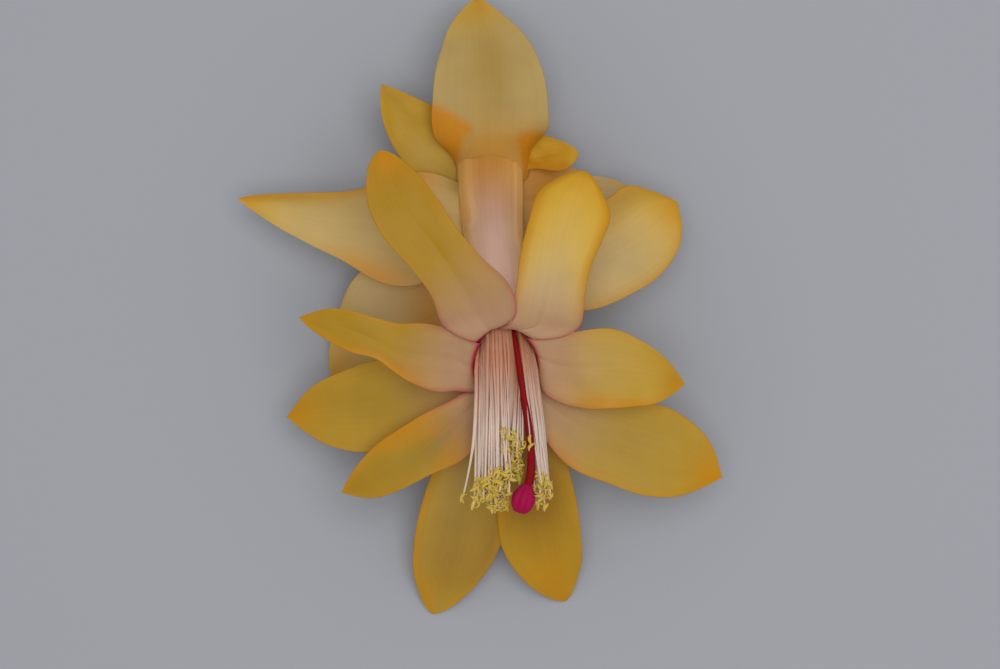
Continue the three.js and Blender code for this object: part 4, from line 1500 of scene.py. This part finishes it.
class FLOWER_OT_stamens(Operator):
    """Make the bundle of filaments and their anthers"""

    bl_idname = "flower.stamens"
    bl_label = "Stamens"

    def execute(self, context):
        settings = context.scene.stamen_settings
        wall = context.scene.tube_settings.wall / MM
        draw = random.Random(settings.seed)
        routes = filament_routes(settings, context.scene.pistil_settings, wall, draw)
        material = filament_material(settings)
        filaments = strand("filament_bundle", routes, 1)
        finish_piece(filaments, material, "stamens", "stamens")
        core = strand("filament_core", [core_route(wall)], 6)
        finish_piece(core, material, "stamens")
        cluster = anther_cluster(routes, settings.anther, draw)
        finish_piece(cluster, plain_material("anthers", settings.pollen), "stamens")
        return {"FINISHED"}


# Stage


class FLOWER_OT_stage(Operator):
    """Make the floor, the soft light and the camera"""

    bl_idname = "flower.stage"
    bl_label = "Floor, light and camera"

    def execute(self, context):
        settings = context.scene.stage_settings
        centre = row((0, 0, 0))
        select_only()
        bpy.ops.mesh.primitive_plane_add(size=FLOOR_SIZE, location=(0, 0, 0))
        floor = context.object
        floor.name = "floor"
        material, tree = new_material("floor")
        paint = {"Base Color": settings.floor, "Roughness": FLOOR_ROUGHNESS}
        skin = add_node(tree, "ShaderNodeBsdfPrincipled", paint).outputs[0]
        add_node(tree, "ShaderNodeOutputMaterial", {"Surface": skin})
        floor.data.materials.append(material)

        bpy.ops.object.light_add(type="AREA", location=centre + KEY_PLACE)
        key = context.object
        key.name = "key"
        key.rotation_euler = (-KEY_PLACE).to_track_quat("-Z", "Y").to_euler()
        key.data.shape = "DISK"
        key.data.size = KEY_SIZE
        key.data.energy = settings.key

        world = bpy.data.worlds.new("even light")
        world.use_nodes = True
        background = world.node_tree.nodes["Background"]
        background.inputs["Color"].default_value = SKY_COLOUR
        background.inputs["Strength"].default_value = settings.sky
        context.scene.world = world
        context.scene.view_settings.view_transform = "Standard"

        bpy.ops.object.camera_add(location=centre + UP * settings.height, rotation=(0, 0, 0))
        camera = context.object
        camera.name = "camera"
        camera.data.sensor_width = SENSOR_WIDTH
        camera.data.lens = SENSOR_WIDTH * settings.height / settings.view_width
        camera.data.clip_start = 0.01
        context.scene.camera = camera
        return {"FINISHED"}


class FLOWER_PT_pieces(Panel):
    """The flower's pieces, in the order in which they are made"""

    bl_label = "Picked cactus flower"
    bl_space_type = "VIEW_3D"
    bl_region_type = "UI"
    bl_category = "Flower"

    def draw(self, context):
        for operator in OPERATORS:
            self.layout.operator(operator.bl_idname)
        for name in SETTINGS:
            settings = getattr(context.scene, name)
            box = self.layout.box()
            for field in settings.__annotations__:
                box.prop(settings, field)


OPERATORS = (
    FLOWER_OT_stage,
    FLOWER_OT_tube,
    FLOWER_OT_ovary,
    FLOWER_OT_style,
    FLOWER_OT_stigma,
    FLOWER_OT_stamens,
    FLOWER_OT_inner_tepals,
    FLOWER_OT_middle_tepals,
    FLOWER_OT_tube_tepals,
    FLOWER_OT_outer_tepals,
    FLOWER_OT_overlaps,
)
SETTINGS = {
    "tepal_settings": TepalSettings,
    "tube_settings": TubeSettings,
    "stamen_settings": StamenSettings,
    "pistil_settings": PistilSettings,
    "stage_settings": StageSettings,
}


def register():
    for name, settings in SETTINGS.items():
        bpy.utils.register_class(settings)
        setattr(bpy.types.Scene, name, PointerProperty(type=settings))
    for made in (*OPERATORS, FLOWER_PT_pieces):
        bpy.utils.register_class(made)


def unregister():
    for made in reversed((*OPERATORS, FLOWER_PT_pieces)):
        bpy.utils.unregister_class(made)
    for name, settings in reversed(SETTINGS.items()):
        delattr(bpy.types.Scene, name)
        bpy.utils.unregister_class(settings)


def main():
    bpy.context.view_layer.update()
    register()
    bpy.ops.object.select_all(action="DESELECT")
    bpy.ops.flower.stage()
    bpy.ops.flower.tube()
    bpy.ops.flower.ovary()
    bpy.ops.flower.style()
    bpy.ops.flower.stigma()
    bpy.ops.flower.stamens()
    bpy.ops.flower.inner_tepals()
    bpy.ops.flower.middle_tepals()
    bpy.ops.flower.tube_tepals()
    bpy.ops.flower.outer_tepals()
    bpy.ops.flower.overlaps()


if __name__ == "__main__":
    main()
